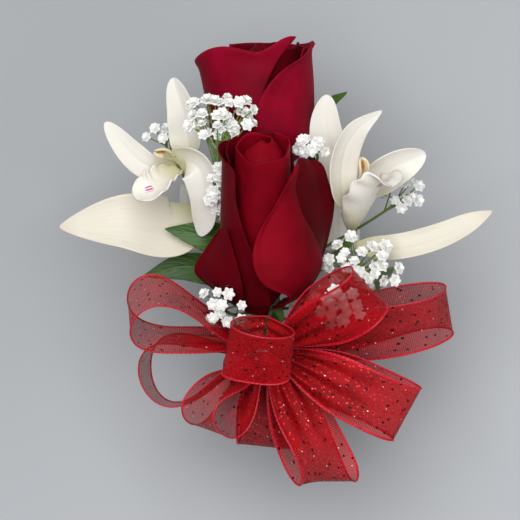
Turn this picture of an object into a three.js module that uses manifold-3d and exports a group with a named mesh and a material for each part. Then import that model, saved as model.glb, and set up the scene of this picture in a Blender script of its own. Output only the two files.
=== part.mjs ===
// Wrist corsage: two roses, two orchids, leaves, baby's breath and a florist's bow,
// taped to one stem bundle that a sheet-metal clip holds on an elastic wristlet.
// Millimetres, +Z up. The origin is the middle of the wristlet's flat underside.
import * as THREE from 'three';
import { mergeVertices } from 'three/addons/utils/BufferGeometryUtils.js';
import Module from 'manifold-3d';

const wasm = await Module();
wasm.setup();

// Clearance between pieces that touch
const SEAT_GAP = 0.3;

// Wristlet band: an oval of elastic, flat below
const BAND_INSIDE_LENGTH = 64;
const BAND_INSIDE_HEIGHT = 46;
const BAND_WALL = 2;
const BAND_WIDTH = 25;
const BAND_CORNER = 18;

// Clip: a plate crimped round the band's edges, with four tabs
const PLATE_THICK = 0.8;
const PLATE_HALF_LENGTH = 7;
const CRIMP_REACH = 4;
const TAB_WIDTH = 5;
const TAB_SPACING = 8;
const TAB_CURL = 75;

// Taped stem bundle, its ends measured along Y in the spray's own frame
const STEM_RADIUS = 4.2;
const STEM_LOBES = 7;
const STEM_LOBE_DEPTH = 0.25;
const STEM_TOP_END = 25;
const STEM_LOW_END = -41;
const ROSE_STEM_RADIUS = 1.5;
const ORCHID_STALK_RADIUS = 1.8;
const ORCHID_SEAT_RADIUS = 2.6;

// The flower spray's place along the wristlet
const SPRAY_SHIFT = -16;

// Sheet thicknesses
const PETAL_THICK = 0.9;
const LEAF_THICK = 0.8;
const RIBBON_THICK = 0.5;

// Air between a rose petal and the next that wraps it, and where a petal starts to curl
const PETAL_AIR = 0.8;
const CURL_START = 0.75;
const TUCK_BEND = 0.6;

// Bow
const RIBBON_WIDTH = 22;
const RIBBON_PINCH = 0.3;
const RIBBON_FAN = 0.26;
const WAIST_RADIUS = 5.6;
const WAIST_PLACE = -33;
const WAIST_HEIGHT = 24;
const WAIST_PLEATS = 8;
const WAIST_PLEAT_DEPTH = 0.35;
const WAIST_BEVEL = 4;
const WAIST_END = 0.6;
const TIE_WIRE_RADIUS = 0.5;

// Baby's breath
const FLORET_RADIUS = 2.6;
const FLORET_LOBES = 5;
const STALK_RADIUS = 0.45;

const deg = THREE.MathUtils.degToRad;
const at = (x, y, z) => new THREE.Vector3(x, y, z);

// Smooth curve through evenly spaced key values, read at t from 0 to 1.
function through(keys, t) {
  const spans = keys.length - 1;
  const place = THREE.MathUtils.clamp(t, 0, 1) * spans;
  const i = Math.min(Math.floor(place), spans - 1);
  const f = place - i;
  const here = keys[i];
  const next = keys[i + 1];
  const before = i > 0 ? keys[i - 1] : 2 * here - next;
  const after = i + 2 <= spans ? keys[i + 2] : 2 * next - here;
  const slopeHere = (next - before) / 2;
  const slopeNext = (after - here) / 2;
  const rise = next - here;
  return here + f * (slopeHere + f * (3 * rise - 2 * slopeHere - slopeNext
    + f * (slopeHere + slopeNext - 2 * rise)));
}

const route = (points) => new THREE.CatmullRomCurve3(points, false, 'catmullrom', 0.5);

function finish(color, roughness, metalness = 0) {
  return new THREE.MeshStandardMaterial({ color, roughness, metalness });
}

const FINISHES = {
  satin: () => finish(0xf2eee8, 0.6),
  steel: () => finish(0xb9bcc0, 0.3, 1),
  tape: () => finish(0x4b6b34, 0.8),
  stem: () => finish(0x5d7a35, 0.6),
  rose: () => finish(0x8f0b1f, 0.55),
  orchid: () => finish(0xefe9df, 0.5),
  leaf: () => finish(0x2f6a10, 0.45),
  floret: () => finish(0xf4f1e6, 0.7),
  ribbon: () => finish(0xa32a36, 0.4),
};

function named(name, geometry, finishName) {
  const mesh = new THREE.Mesh(geometry, FINISHES[finishName]());
  mesh.name = name;
  return mesh;
}

// A geometry with shared corners and nothing but places, so that it is one closed skin.
function welded(geometry) {
  const bare = geometry.clone();
  bare.deleteAttribute('normal');
  bare.deleteAttribute('uv');
  return mergeVertices(bare, 1e-4);
}

function skin(position, index) {
  const geometry = new THREE.BufferGeometry();
  geometry.setAttribute('position', new THREE.Float32BufferAttribute(position, 3));
  geometry.setIndex(index);
  return geometry;
}

function toSolid(geometry) {
  const closed = welded(geometry);
  return new wasm.Manifold(new wasm.Mesh({
    numProp: 3,
    vertProperties: new Float32Array(closed.attributes.position.array),
    triVerts: new Uint32Array(closed.index.array),
  }));
}

function toGeometry(solid) {
  const mesh = solid.getMesh();
  return skin(Array.from(mesh.vertProperties), Array.from(mesh.triVerts));
}

function joined(geometries) {
  return toGeometry(geometries.map(toSolid).reduce((whole, piece) => whole.add(piece)));
}

// Thin closed shell: both faces of surface(u, v), u from -1 to 1 and v from 0 to 1,
// half a thickness to either side, with a wall round the edge.
function shell(surface, across, along, thickness) {
  const position = [];
  const index = [];
  const row = across + 1;
  const face = row * (along + 1);
  const step = 1e-3;
  const normalAt = (u, v) => {
    const du = surface(Math.min(u + step, 1), v).sub(surface(Math.max(u - step, -1), v));
    const dv = surface(u, Math.min(v + step, 1)).sub(surface(u, Math.max(v - step, 0)));
    return du.cross(dv).normalize();
  };
  for (const side of [0.5, -0.5]) {
    for (let j = 0; j <= along; j += 1) {
      for (let i = 0; i <= across; i += 1) {
        const u = (2 * i) / across - 1;
        const v = j / along;
        const p = surface(u, v).addScaledVector(normalAt(u, v), side * thickness);
        position.push(p.x, p.y, p.z);
      }
    }
  }
  for (let j = 0; j < along; j += 1) {
    for (let i = 0; i < across; i += 1) {
      const a = j * row + i;
      const b = a + 1;
      const c = b + row;
      const d = a + row;
      index.push(a, b, c, a, c, d);
      index.push(face + a, face + c, face + b, face + a, face + d, face + c);
    }
  }
  const rim = [];
  for (let i = 0; i < across; i += 1) rim.push(i);
  for (let j = 0; j < along; j += 1) rim.push(j * row + across);
  for (let i = across; i > 0; i -= 1) rim.push(along * row + i);
  for (let j = along; j > 0; j -= 1) rim.push(j * row);
  rim.forEach((p, k) => {
    const q = rim[(k + 1) % rim.length];
    index.push(q, p, face + p, q, face + p, face + q);
  });
  return skin(position, index);
}

// Skin over rings of points, each ring turning from its first axis to its second about the
// direction of travel. An open loft gets flat ends, and a closed one runs on into its first ring.
function loft(rings, closed = false) {
  const sides = rings[0].length;
  const position = rings.flat().flatMap((p) => p.toArray());
  const index = [];
  rings.forEach((ring, j) => {
    if (!closed && j === rings.length - 1) return;
    const next = (j + 1) % rings.length;
    for (let i = 0; i < sides; i += 1) {
      const k = (i + 1) % sides;
      const a = j * sides + i;
      const b = j * sides + k;
      index.push(a, b, next * sides + k, a, next * sides + k, next * sides + i);
    }
  });
  if (closed) return skin(position, index);
  for (const last of [false, true]) {
    const first = last ? (rings.length - 1) * sides : 0;
    const ring = rings[last ? rings.length - 1 : 0];
    const hub = position.length / 3;
    const centre = ring.reduce((sum, p) => sum.add(p), at(0, 0, 0)).divideScalar(sides);
    position.push(...centre.toArray());
    for (let i = 0; i < sides; i += 1) {
      const a = first + i;
      const b = first + ((i + 1) % sides);
      if (last) index.push(hub, a, b);
      else index.push(hub, b, a);
    }
  }
  return skin(position, index);
}

// Ring of points about a centre, from two axes square to each other.
function circle(centre, first, second, radius, sides) {
  return Array.from({ length: sides }, (_, i) => {
    const turn = (2 * Math.PI * i) / sides;
    return centre.clone()
      .addScaledVector(first, radius * Math.cos(turn))
      .addScaledVector(second, radius * Math.sin(turn));
  });
}

// Round rod along a curve, its radius read from keys, with flat ends.
function limb(points, radii, steps, sides) {
  const path = route(points);
  const frames = path.computeFrenetFrames(steps);
  const rings = Array.from({ length: steps + 1 }, (_, j) => circle(
    path.getPointAt(j / steps), frames.normals[j], frames.binormals[j], through(radii, j / steps), sides));
  return loft(rings);
}

// Tube of one radius along a curve.
function tube(points, radius, steps, quarterSides) {
  const section = new THREE.Shape();
  section.absarc(0, 0, radius, 0, 2 * Math.PI);
  return welded(new THREE.ExtrudeGeometry(section, {
    steps,
    curveSegments: 2 * quarterSides,
    bevelEnabled: false,
    extrudePath: route(points),
  }));
}

// Solid of revolution about Z from [radius, height] points.
function turned(profile, sides) {
  const lathe = new THREE.LatheGeometry(profile.map(([r, z]) => new THREE.Vector2(r, z)), sides);
  return welded(lathe.rotateX(Math.PI / 2));
}

// Wristlet and clip

const bandTop = BAND_INSIDE_HEIGHT + 2 * BAND_WALL;
const plateBottom = bandTop + SEAT_GAP;
const plateTop = plateBottom + PLATE_THICK;
const bundleAxis = plateTop + SEAT_GAP + STEM_RADIUS;

function roundedOval(length, height, corner) {
  const x = length / 2 - corner;
  const z = height / 2 - corner;
  const oval = new THREE.Shape();
  oval.absarc(x, z, corner, 0, Math.PI / 2);
  oval.absarc(-x, z, corner, Math.PI / 2, Math.PI);
  oval.absarc(-x, -z, corner, Math.PI, 1.5 * Math.PI);
  oval.absarc(x, -z, corner, 1.5 * Math.PI, 2 * Math.PI);
  return oval;
}

function wristletBand() {
  const outer = roundedOval(
    BAND_INSIDE_LENGTH + 2 * BAND_WALL, BAND_INSIDE_HEIGHT + 2 * BAND_WALL, BAND_CORNER);
  outer.holes.push(roundedOval(BAND_INSIDE_LENGTH, BAND_INSIDE_HEIGHT, BAND_CORNER - BAND_WALL));
  const ring = new THREE.ExtrudeGeometry(outer, {
    depth: BAND_WIDTH,
    curveSegments: 5,
    bevelEnabled: false,
  });
  ring.translate(0, 0, -BAND_WIDTH / 2).rotateX(Math.PI / 2).translate(0, 0, bandTop / 2);
  return named('wristlet_band', welded(ring), 'satin');
}

// Plate whose ends fold down and under the band, narrowed where the tabs stand.
function clipPlate() {
  const halfWidth = BAND_WIDTH / 2 + SEAT_GAP;
  const under = bandTop - BAND_WALL - SEAT_GAP;
  const hook = new THREE.Shape();
  hook.moveTo(-halfWidth - PLATE_THICK, plateTop);
  hook.lineTo(halfWidth + PLATE_THICK, plateTop);
  hook.lineTo(halfWidth + PLATE_THICK, under - PLATE_THICK);
  hook.lineTo(halfWidth - CRIMP_REACH, under - PLATE_THICK);
  hook.lineTo(halfWidth - CRIMP_REACH, under);
  hook.lineTo(halfWidth, under);
  hook.lineTo(halfWidth, plateBottom);
  hook.lineTo(-halfWidth, plateBottom);
  hook.lineTo(-halfWidth, under);
  hook.lineTo(-halfWidth + CRIMP_REACH, under);
  hook.lineTo(-halfWidth + CRIMP_REACH, under - PLATE_THICK);
  hook.lineTo(-halfWidth - PLATE_THICK, under - PLATE_THICK);
  const folded = new THREE.ExtrudeGeometry(hook, { depth: 2 * PLATE_HALF_LENGTH, bevelEnabled: false });
  folded.translate(0, 0, -PLATE_HALF_LENGTH).rotateX(Math.PI / 2).rotateZ(Math.PI / 2);
  let plate = toSolid(folded);
  for (const side of [-1, 1]) {
    for (const end of [-1, 1]) {
      const notchWidth = TAB_WIDTH + 2 * SEAT_GAP;
      const notch = new THREE.BoxGeometry(2 * PLATE_HALF_LENGTH, notchWidth, 4 * PLATE_THICK);
      notch.translate(side * (STEM_RADIUS + PLATE_HALF_LENGTH), (end * TAB_SPACING) / 2, plateBottom);
      plate = plate.subtract(toSolid(notch));
    }
  }
  return named('clip_plate', toGeometry(plate), 'steel');
}

// Tab: upright from its root beside the plate, curled over the stem bundle.
function clipTab(name, side, end) {
  const inner = STEM_RADIUS + SEAT_GAP;
  const outer = inner + PLATE_THICK;
  const curl = deg(TAB_CURL);
  const outline = new THREE.Shape();
  outline.moveTo(inner, plateBottom - bundleAxis);
  outline.lineTo(outer, plateBottom - bundleAxis);
  outline.absarc(0, 0, outer, 0, curl, false);
  outline.absarc(0, 0, inner, curl, 0, true);
  const tab = new THREE.ExtrudeGeometry(outline, { depth: TAB_WIDTH, curveSegments: 6, bevelEnabled: false });
  tab.translate(0, 0, -TAB_WIDTH / 2).rotateX(Math.PI / 2);
  if (side < 0) tab.rotateZ(Math.PI);
  tab.translate(0, (end * TAB_SPACING) / 2, bundleAxis);
  return named(name, welded(tab), 'steel');
}

// Everything below stands in the spray's own frame: its Z is measured from the bundle's axis.
const spray = new THREE.Group();
spray.position.set(0, SPRAY_SHIFT, bundleAxis);

// Bundle of stems under florist's tape, lobed by the stems inside.
function tapedStems() {
  const section = new THREE.Shape();
  const sides = 4 * STEM_LOBES;
  for (let k = 0; k < sides; k += 1) {
    const turn = (2 * Math.PI * k) / sides;
    const radius = STEM_RADIUS - STEM_LOBE_DEPTH * (1 + Math.cos(STEM_LOBES * turn)) / 2;
    if (k === 0) section.moveTo(radius * Math.cos(turn), radius * Math.sin(turn));
    else section.lineTo(radius * Math.cos(turn), radius * Math.sin(turn));
  }
  const length = STEM_TOP_END - STEM_LOW_END;
  const bundle = new THREE.ExtrudeGeometry(section, { depth: length, steps: 2, bevelEnabled: false });
  bundle.rotateX(-Math.PI / 2).translate(0, STEM_LOW_END, 0);
  return named('taped_stems', welded(bundle), 'tape');
}

// Blade of a tepal or leaf: midrib through points, half widths from keys, bent across by
// an arc of the given half angle that opens towards the face direction.
function blade({ points, half, bend, face, fold = 0 }) {
  const midrib = route(points);
  return (u, v) => {
    const tangent = midrib.getTangent(v);
    const normal = face.clone().addScaledVector(tangent, -face.dot(tangent)).normalize();
    const side = tangent.clone().cross(normal).negate();
    const width = Math.max(through(half, v), 0.3);
    const arc = Math.max(deg(through(bend, v)), 1e-3);
    const crease = fold * (Math.sqrt(u * u + 0.02) - 0.14);
    return midrib.getPoint(v)
      .addScaledVector(side, -(width * Math.sin(arc * u)) / arc)
      .addScaledVector(normal, (width * (1 - Math.cos(arc * u))) / arc + width * crease);
  };
}

// A [radius, height] profile moved outwards, square to itself, by a distance.
function wrapped(profile, distance) {
  return profile.map(([r, z], k) => {
    const [r0, z0] = profile[Math.max(k - 1, 0)];
    const [r1, z1] = profile[Math.min(k + 1, profile.length - 1)];
    const length = Math.hypot(r1 - r0, z1 - z0);
    return [r + (distance * (z1 - z0)) / length, z - (distance * (r1 - r0)) / length];
  });
}

// Rose petal in the rose's own frame: a [radius, height] profile, some layers out, swept
// between two edge angles. An edge may be tucked in behind another petal, which leaves the
// other edge flared. Near its top the petal may curl outwards and droop towards one side.
function petal({
  profile, layer = 0, left, right, tuckLeft = [0, 0], tuckRight = [0, 0], curl = 0, curlAt = 0, droop = 0,
}) {
  const outline = wrapped(profile, layer * (PETAL_THICK + PETAL_AIR));
  const radii = outline.map(([r]) => r);
  const heights = outline.map(([, z]) => z);
  return (u, v) => {
    const start = through(left, v);
    const end = through(right, v);
    const angle = deg(start + ((end - start) * (u + 1)) / 2);
    const towards = Math.max(Math.cos(angle - deg(curlAt)), 0);
    const rolled = Math.max((v - CURL_START) / (1 - CURL_START), 0);
    const bent = rolled * towards * towards;
    const inLeft = through(tuckLeft, v) * ((1 - u) / 2) ** TUCK_BEND;
    const inRight = through(tuckRight, v) * ((1 + u) / 2) ** TUCK_BEND;
    const radius = through(radii, v) + curl * bent - inLeft - inRight;
    return at(radius * Math.cos(angle), radius * Math.sin(angle), through(heights, v) - droop * bent);
  };
}

// Calyx: the hip under a rose with its five sepals bent back.
function calyx(hipLength) {
  const hip = turned([
    [0, -hipLength], [1.9, -hipLength], [3.4, -0.75 * hipLength], [4.2, -0.45 * hipLength],
    [5.2, -0.2 * hipLength], [5.6, -SEAT_GAP], [0, -SEAT_GAP],
  ], 8);
  const pieces = [hip];
  for (let k = 0; k < 5; k += 1) {
    const turn = (2 * Math.PI * (k + 0.5)) / 5;
    const outward = at(Math.cos(turn), Math.sin(turn), 0);
    const place = (r, z) => outward.clone().multiplyScalar(r).setZ(z);
    const sepal = blade({
      points: [place(4, -1.2), place(7.4, -1.9), place(9, -4.5), place(9, -8.5)],
      half: [2.4, 2.2, 1.4, 0.35],
      bend: [20, 20, 20, 20],
      face: at(0, 0, 1),
    });
    pieces.push(shell(sepal, 2, 3, LEAF_THICK));
  }
  return joined(pieces);
}

function rose(name, { base, tilt, hipLength, heart, petals }) {
  const flower = new THREE.Group();
  flower.position.copy(base);
  flower.rotation.x = deg(tilt - 90);
  flower.add(named(`${name}_calyx`, calyx(hipLength), 'stem'));
  flower.add(named(`${name}_heart`, turned(heart, 14), 'rose'));
  for (const [petalName, shape] of Object.entries(petals)) {
    flower.add(named(`${name}_petal_${petalName}`, shell(petal(shape), 7, 7, PETAL_THICK), 'rose'));
  }
  return flower;
}

const frontCup = [[5, 0.5], [8.8, 7], [11, 18], [11.4, 32], [11, 46], [10.6, 57], [10.4, 63]];
const frontRose = {
  base: at(-2.9, -15.3, 18),
  tilt: 27,
  hipLength: 8,
  heart: [
    [0, 0], ...frontCup, [9.4, 63.2],
    [9, 56], [8, 46], [6.6, 43], [6, 50], [4.6, 57], [2, 58.5], [0, 57.5],
  ],
  petals: {
    back: {
      profile: frontCup, layer: 1,
      left: [60, 40, 25, 20, 20, 25, 35],
      right: [150, 170, 190, 205, 205, 200, 190],
    },
    left: {
      profile: frontCup, layer: 2,
      left: [150, 140, 130, 125, 125, 130, 140],
      right: [285, 285, 275, 250, 232, 228, 215],
    },
    front: {
      profile: [
        [6.8, 0.8], [14.6, 5.2], [20.2, 11.9], [22.4, 19.5], [19.8, 29], [16.6, 39], [14.2, 49], [13.4, 60],
      ],
      left: [-60, -60, -63, -89, -99, -91, -66, -36],
      right: [-8, -10, -12, -12, -14, -26, -30, -26],
    },
    right: {
      profile: [
        [9.6, 1.2], [16.2, 4], [21, 10.5], [24.5, 21], [26.8, 35], [24.5, 45], [22, 54], [17.5, 60],
      ],
      left: [-4, -5, -7, -38, -45, -42, -22, -14],
      right: [20, 25, 28, 30, 30, 30, 28, 20],
      tuckLeft: [0, 0, 2, 4.5, 14, 12.2, 9, 4],
    },
    low: {
      profile: [[12, 2], [18, 7.5], [23.6, 12.5], [23.4, 16.5], [20.6, 22], [18.2, 28], [17, 34.5]],
      left: [200, 192, 186, 184, 184, 186, 190],
      right: [235, 240, 242, 242, 240, 236, 230],
      tuckRight: [0, 3.5, 7.5, 7, 4.2, 1.8, 0.6],
    },
  },
};

const backCup = [[6, 4], [11.5, 6], [15.2, 11], [16, 19], [16, 29], [15.4, 38], [15, 44]];
const backRose = {
  base: at(-4, 35, 6),
  tilt: 9,
  hipLength: 6,
  heart: [
    [0, 0], [4.6, 0], [5.2, 2], ...backCup, [13.9, 44.2],
    [13, 37], [11.2, 30], [9.4, 28], [8.8, 35], [6.8, 41], [3, 42.5], [0, 41.5],
  ],
  petals: {
    left: {
      profile: backCup, layer: 1.2,
      left: [150, 130, 122, 120, 120, 122, 130],
      right: [255, 268, 272, 272, 276, 292, 318],
      curl: 5,
      curlAt: 170,
      droop: 5,
    },
    right: {
      profile: backCup, layer: 2.5,
      left: [-60, -88, -94, -94, -86, -62, -14],
      right: [40, 60, 68, 70, 66, 58, 46],
    },
    back: {
      profile: backCup, layer: 1,
      left: [20, -8, -20, -22, -22, -24, -20],
      right: [95, 108, 114, 114, 114, 112, 104],
    },
  },
};

spray.add(tapedStems());
spray.add(rose('rose_front', frontRose));
spray.add(rose('rose_back', backRose));

// Where a stalk leaves the bundle's side: left is -1 and right is 1.
const fromBundle = (side, y, z, more = 0) => at(side * (STEM_RADIUS + 2 * SEAT_GAP + more), y, z);

// A point on a rose's axis, some way under its hip.
const underHip = ({ base, tilt, hipLength }, below) => at(0, -Math.cos(deg(tilt)), -Math.sin(deg(tilt)))
  .multiplyScalar(hipLength + below)
  .add(base);

// Stems and stalks that run into the bundle. An orchid's stalk swells where its flower sits.
const orchidStalk = [
  ORCHID_STALK_RADIUS, ORCHID_STALK_RADIUS, ORCHID_STALK_RADIUS, ORCHID_STALK_RADIUS, ORCHID_SEAT_RADIUS,
];
const stems = {
  rose_front_stem: {
    radii: [ROSE_STEM_RADIUS, ROSE_STEM_RADIUS],
    points: [
      underHip(frontRose, 0.95), at(-2.8, -24.6, 11), at(-1.9, -24.4, 7),
      at(-1, -23.6, STEM_RADIUS + SEAT_GAP),
    ],
  },
  rose_back_stem: {
    radii: [ROSE_STEM_RADIUS, ROSE_STEM_RADIUS],
    points: [
      underHip(backRose, 1.39), at(-3.5, 27.5, 3.8), at(-2.4, 26.9, 2.4),
      at(-1.4, STEM_TOP_END + 5 * SEAT_GAP, 1.2),
    ],
  },
  orchid_left_stalk: {
    radii: orchidStalk,
    points: [
      fromBundle(-1, -4, 0.5, ORCHID_STALK_RADIUS / 2), at(-14, 2, 3), at(-22, 12, 7),
      at(-26, 22, 9), at(-31.8, 35.8, 16),
    ],
  },
  orchid_right_stalk: {
    radii: orchidStalk,
    points: [
      fromBundle(1, -9, 0.5, ORCHID_STALK_RADIUS / 2), at(18, -3, 4), at(28, 5, 8),
      at(31, 14, 11), at(30, 22, 13),
    ],
  },
};
for (const [name, { points, radii }] of Object.entries(stems)) {
  spray.add(named(name, limb(points, radii, 8, 8), 'stem'));
}

// Orchids: five tepals, a lip and a column each
const towardsViewer = at(0, 0, 1);
const orchids = {
  orchid_left_dorsal_sepal: {
    points: [at(-30.5, 37, 16), at(-30, 44, 15), at(-31.5, 54, 17), at(-35.4, 66.8, 19)],
    half: [1.5, 4.2, 5.8, 6.3, 6.2, 5.6, 4.4, 0.6], bend: [30, 25, 20, 10], face: at(-0.35, -0.2, 1),
    fold: 0.25,
  },
  orchid_left_petal_left: {
    points: [at(-34.3, 35.4, 17), at(-41, 36, 18), at(-49.3, 41, 19), at(-60.2, 50.4, 21)],
    half: [1.5, 3.4, 4.4, 4.9, 5, 4.8, 4.3, 3.4, 0.8], bend: [35, 30, 25, 10], face: at(0.2, -0.3, 1),
  },
  orchid_left_petal_right: {
    points: [
      at(-30.5, 35.5, 19), at(-29, 36.5, 26), at(-25.3, 32, 29), at(-25, 23, 26), at(-26, 15, 21),
      at(-26.8, 8.8, 17),
    ],
    half: [1.4, 4.8, 6.2, 5.5, 4.5, 3.1, 0.6], bend: [20, 35, 40, 40, 30, 10], face: at(-0.3, -0.3, 0.9),
  },
  orchid_left_sepal_lower: {
    points: [at(-26.9, 17.3, 8.2), at(-36, 12, 10), at(-54, 14, 13), at(-77.4, 12.2, 10)],
    half: [1.6, 6.4, 9.6, 11.4, 11.8, 10.8, 8.8, 5.8, 1], bend: [20, 22, 22, 10], face: at(0, 0.15, 1),
  },
  orchid_left_sepal_inner: {
    points: [at(-22, 17.5, 10.2), at(-19.5, 13.5, 11), at(-17.8, 8.5, 10)],
    half: [1, 2.6, 2.4, 0.5], bend: [20, 25, 15], face: towardsViewer,
  },
  orchid_right_dorsal_sepal: {
    points: [at(27.5, 25, 14), at(24, 36, 14.5), at(20.6, 48, 17), at(21, 60.6, 19)],
    half: [1.6, 4.2, 5.6, 6.4, 6.5, 6.1, 5.2, 3.7, 0.8], bend: [25, 28, 25, 15], face: at(-0.1, -0.2, 1),
  },
  orchid_right_petal_left: {
    points: [at(28.7, 19.4, 16.3), at(26.5, 25, 24), at(26.6, 36.5, 29), at(31, 46.4, 34), at(40.5, 54, 38)],
    half: [1.6, 4.6, 5.4, 4, 0.5], bend: [25, 40, 40, 30, 10], face: at(0.85, 0, 0.6),
  },
  orchid_right_petal_right: {
    points: [at(32.9, 22.6, 14.4), at(39, 29, 17), at(46.8, 34.4, 21), at(56.9, 39, 23)],
    half: [1.6, 4, 5.6, 6.6, 7, 6.8, 6, 4.2, 1], bend: [30, 40, 35, 15], face: at(-0.2, -0.2, 1),
  },
  orchid_right_sepal_lower: {
    points: [at(31.5, 5, 9.5), at(45.6, 4.6, 12), at(62, 8.6, 14), at(81.8, 17.9, 15)],
    half: [1.6, 3.8, 4.7, 5, 5, 4.9, 4.6, 3.7, 0.7], bend: [20, 25, 22, 10], face: at(0, 0.2, 1),
  },
  orchid_right_sepal_inner: {
    points: [at(27.4, 1.3, 7.2), at(32, -5, 8), at(39, -11, 7)],
    half: [1.4, 4, 3.6, 0.5], bend: [20, 25, 15], face: towardsViewer,
  },
  orchid_left_lip: {
    points: [at(-32.9, 33.2, 18.1), at(-38.5, 29, 25), at(-43, 26, 28.5), at(-50, 24.5, 28)],
    half: [2, 6.2, 7, 5.6, 3], bend: [60, 80, 75, 50, 30], face: at(-0.35, 0.2, 1),
  },
  orchid_right_lip: {
    points: [at(30.5, 11, 12.4), at(33, 15.5, 23), at(36.5, 22, 28.5), at(44, 27.5, 30.5)],
    half: [2, 5.8, 8.6, 10, 9.6, 8.4, 5.5], bend: [50, 70, 70, 60, 50, 40], face: at(0.3, 0.25, 1),
  },
};
for (const [name, shape] of Object.entries(orchids)) {
  spray.add(named(name, shell(blade(shape), 4, 7, PETAL_THICK), 'orchid'));
}

// Columns: bent rods with a hooded, swollen end
const columns = {
  orchid_left_column: [at(-32.4, 36.8, 17.8), at(-36, 39.5, 24), at(-38.5, 40.5, 28), at(-42.8, 40, 30)],
  orchid_right_column: [at(31.2, 23.3, 16.2), at(33, 28.5, 25), at(33.6, 33, 31), at(33.2, 37.5, 33.5)],
};
for (const [name, points] of Object.entries(columns)) {
  spray.add(named(name, limb(points, [1.3, 1.7, 1.9, 2.3, 1.4], 8, 6), 'orchid'));
}

// Leaves on short stalks from the bundle
const leaves = {
  leaf_left_upper: {
    points: [fromBundle(-1, -1, 2.6), at(-13, 4, 9), at(-22, 8.4, 15), at(-38.5, 11.4, 15.5)],
    half: [0.8, 2, 4.4, 3.6, 0.4], bend: [20, 20, 20, 10], face: at(0, -0.3, 1),
  },
  leaf_left_lower: {
    points: [fromBundle(-1, -11, 0.5), at(-15, -6, 1.5), at(-31, -2.5, 4), at(-46.7, -6, 5)],
    half: [0.8, 3.2, 5, 3.6, 0.4], bend: [15, 20, 20, 10], face: towardsViewer,
  },
  leaf_top_right: {
    points: [
      at(3.4, STEM_TOP_END + 1, -1), at(13, 34, -3), at(19.5, 48, 0), at(21.5, 57, 3), at(28.5, 62, 6),
    ],
    half: [0.8, 1.6, 3.4, 3.4, 0.4], bend: [15, 20, 20, 10], face: towardsViewer,
  },
  leaf_right: {
    points: [fromBundle(1, -15, 0.5), at(22, -14, 2), at(36, -9.5, 3.5), at(46.5, -2.5, 5)],
    half: [0.8, 3.2, 4.6, 3.4, 0.4], bend: [15, 20, 20, 10], face: towardsViewer,
  },
  leaf_knot_tip: {
    points: [
      at(-5.2, WAIST_PLACE + 3, 27), at(-9, WAIST_PLACE + 4.5, 30.5), at(-11.5, WAIST_PLACE + 8, 33),
      at(-10.5, WAIST_PLACE + 13.5, 34),
    ],
    half: [0.7, 1.5, 1.2, 0.35], bend: [15, 20, 15, 10], face: towardsViewer,
  },
};
for (const [name, shape] of Object.entries(leaves)) {
  spray.add(named(name, shell(blade(shape), 4, 6, LEAF_THICK), 'leaf'));
}

// Floret: a lobed double cone facing a direction
function floret(centre, facing, radius) {
  const turnTo = new THREE.Quaternion().setFromUnitVectors(at(0, 0, 1), facing.clone().normalize());
  const corners = [at(0, 0, 0.45 * radius)];
  const tips = 2 * FLORET_LOBES;
  for (let k = 0; k < tips; k += 1) {
    const turn = (2 * Math.PI * k) / tips;
    const reach = k % 2 ? 0.62 * radius : radius;
    corners.push(at(reach * Math.cos(turn), reach * Math.sin(turn), 0.2 * radius));
  }
  corners.push(at(0, 0, -0.6 * radius));
  const position = corners.flatMap((p) => p.applyQuaternion(turnTo).add(centre).toArray());
  const index = [];
  for (let k = 1; k <= tips; k += 1) {
    const next = (k % tips) + 1;
    index.push(0, k, next, tips + 1, next, k);
  }
  return skin(position, index);
}

// Side stalk: a thin cone that grows towards its floret.
function sideStalk(from, to) {
  const length = from.distanceTo(to);
  const rod = new THREE.ConeGeometry(1.2 * STALK_RADIUS, length, 3);
  const towards = to.clone().sub(from).normalize();
  const turnTo = new THREE.Quaternion().setFromUnitVectors(at(0, -1, 0), towards);
  const middle = from.clone().lerp(to, 0.5);
  return rod.applyQuaternion(turnTo).translate(middle.x, middle.y, middle.z);
}

// Sprig: one main stalk and florets spread over an ellipse by the golden angle, each on a
// side stalk. The side stalks leave the main one evenly, from a share of its length upwards.
const GOLDEN_ANGLE = 137.508;
function sprig({ stalk, spread, count, depth, leave }) {
  const main = route(stalk);
  const centre = stalk[stalk.length - 1];
  const pieces = [tube(stalk, STALK_RADIUS * 1.3, 6, 1)];
  for (let k = 0; k < count; k += 1) {
    const turn = deg(GOLDEN_ANGLE * k);
    const reach = Math.sqrt((k + 0.3) / count);
    const offset = at(Math.cos(turn), Math.sin(turn), 0).multiply(spread).multiplyScalar(reach);
    const place = centre.clone().add(offset.setZ(depth * (1 - 2 * reach * reach)));
    const from = main.getPoint(leave + ((0.94 - leave) * k) / count);
    const lean = place.clone().sub(from).normalize().add(towardsViewer);
    pieces.push(sideStalk(from, place));
    pieces.push(floret(place, lean, FLORET_RADIUS * (0.85 + 0.15 * Math.cos(3 * k))));
  }
  return joined(pieces);
}

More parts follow.
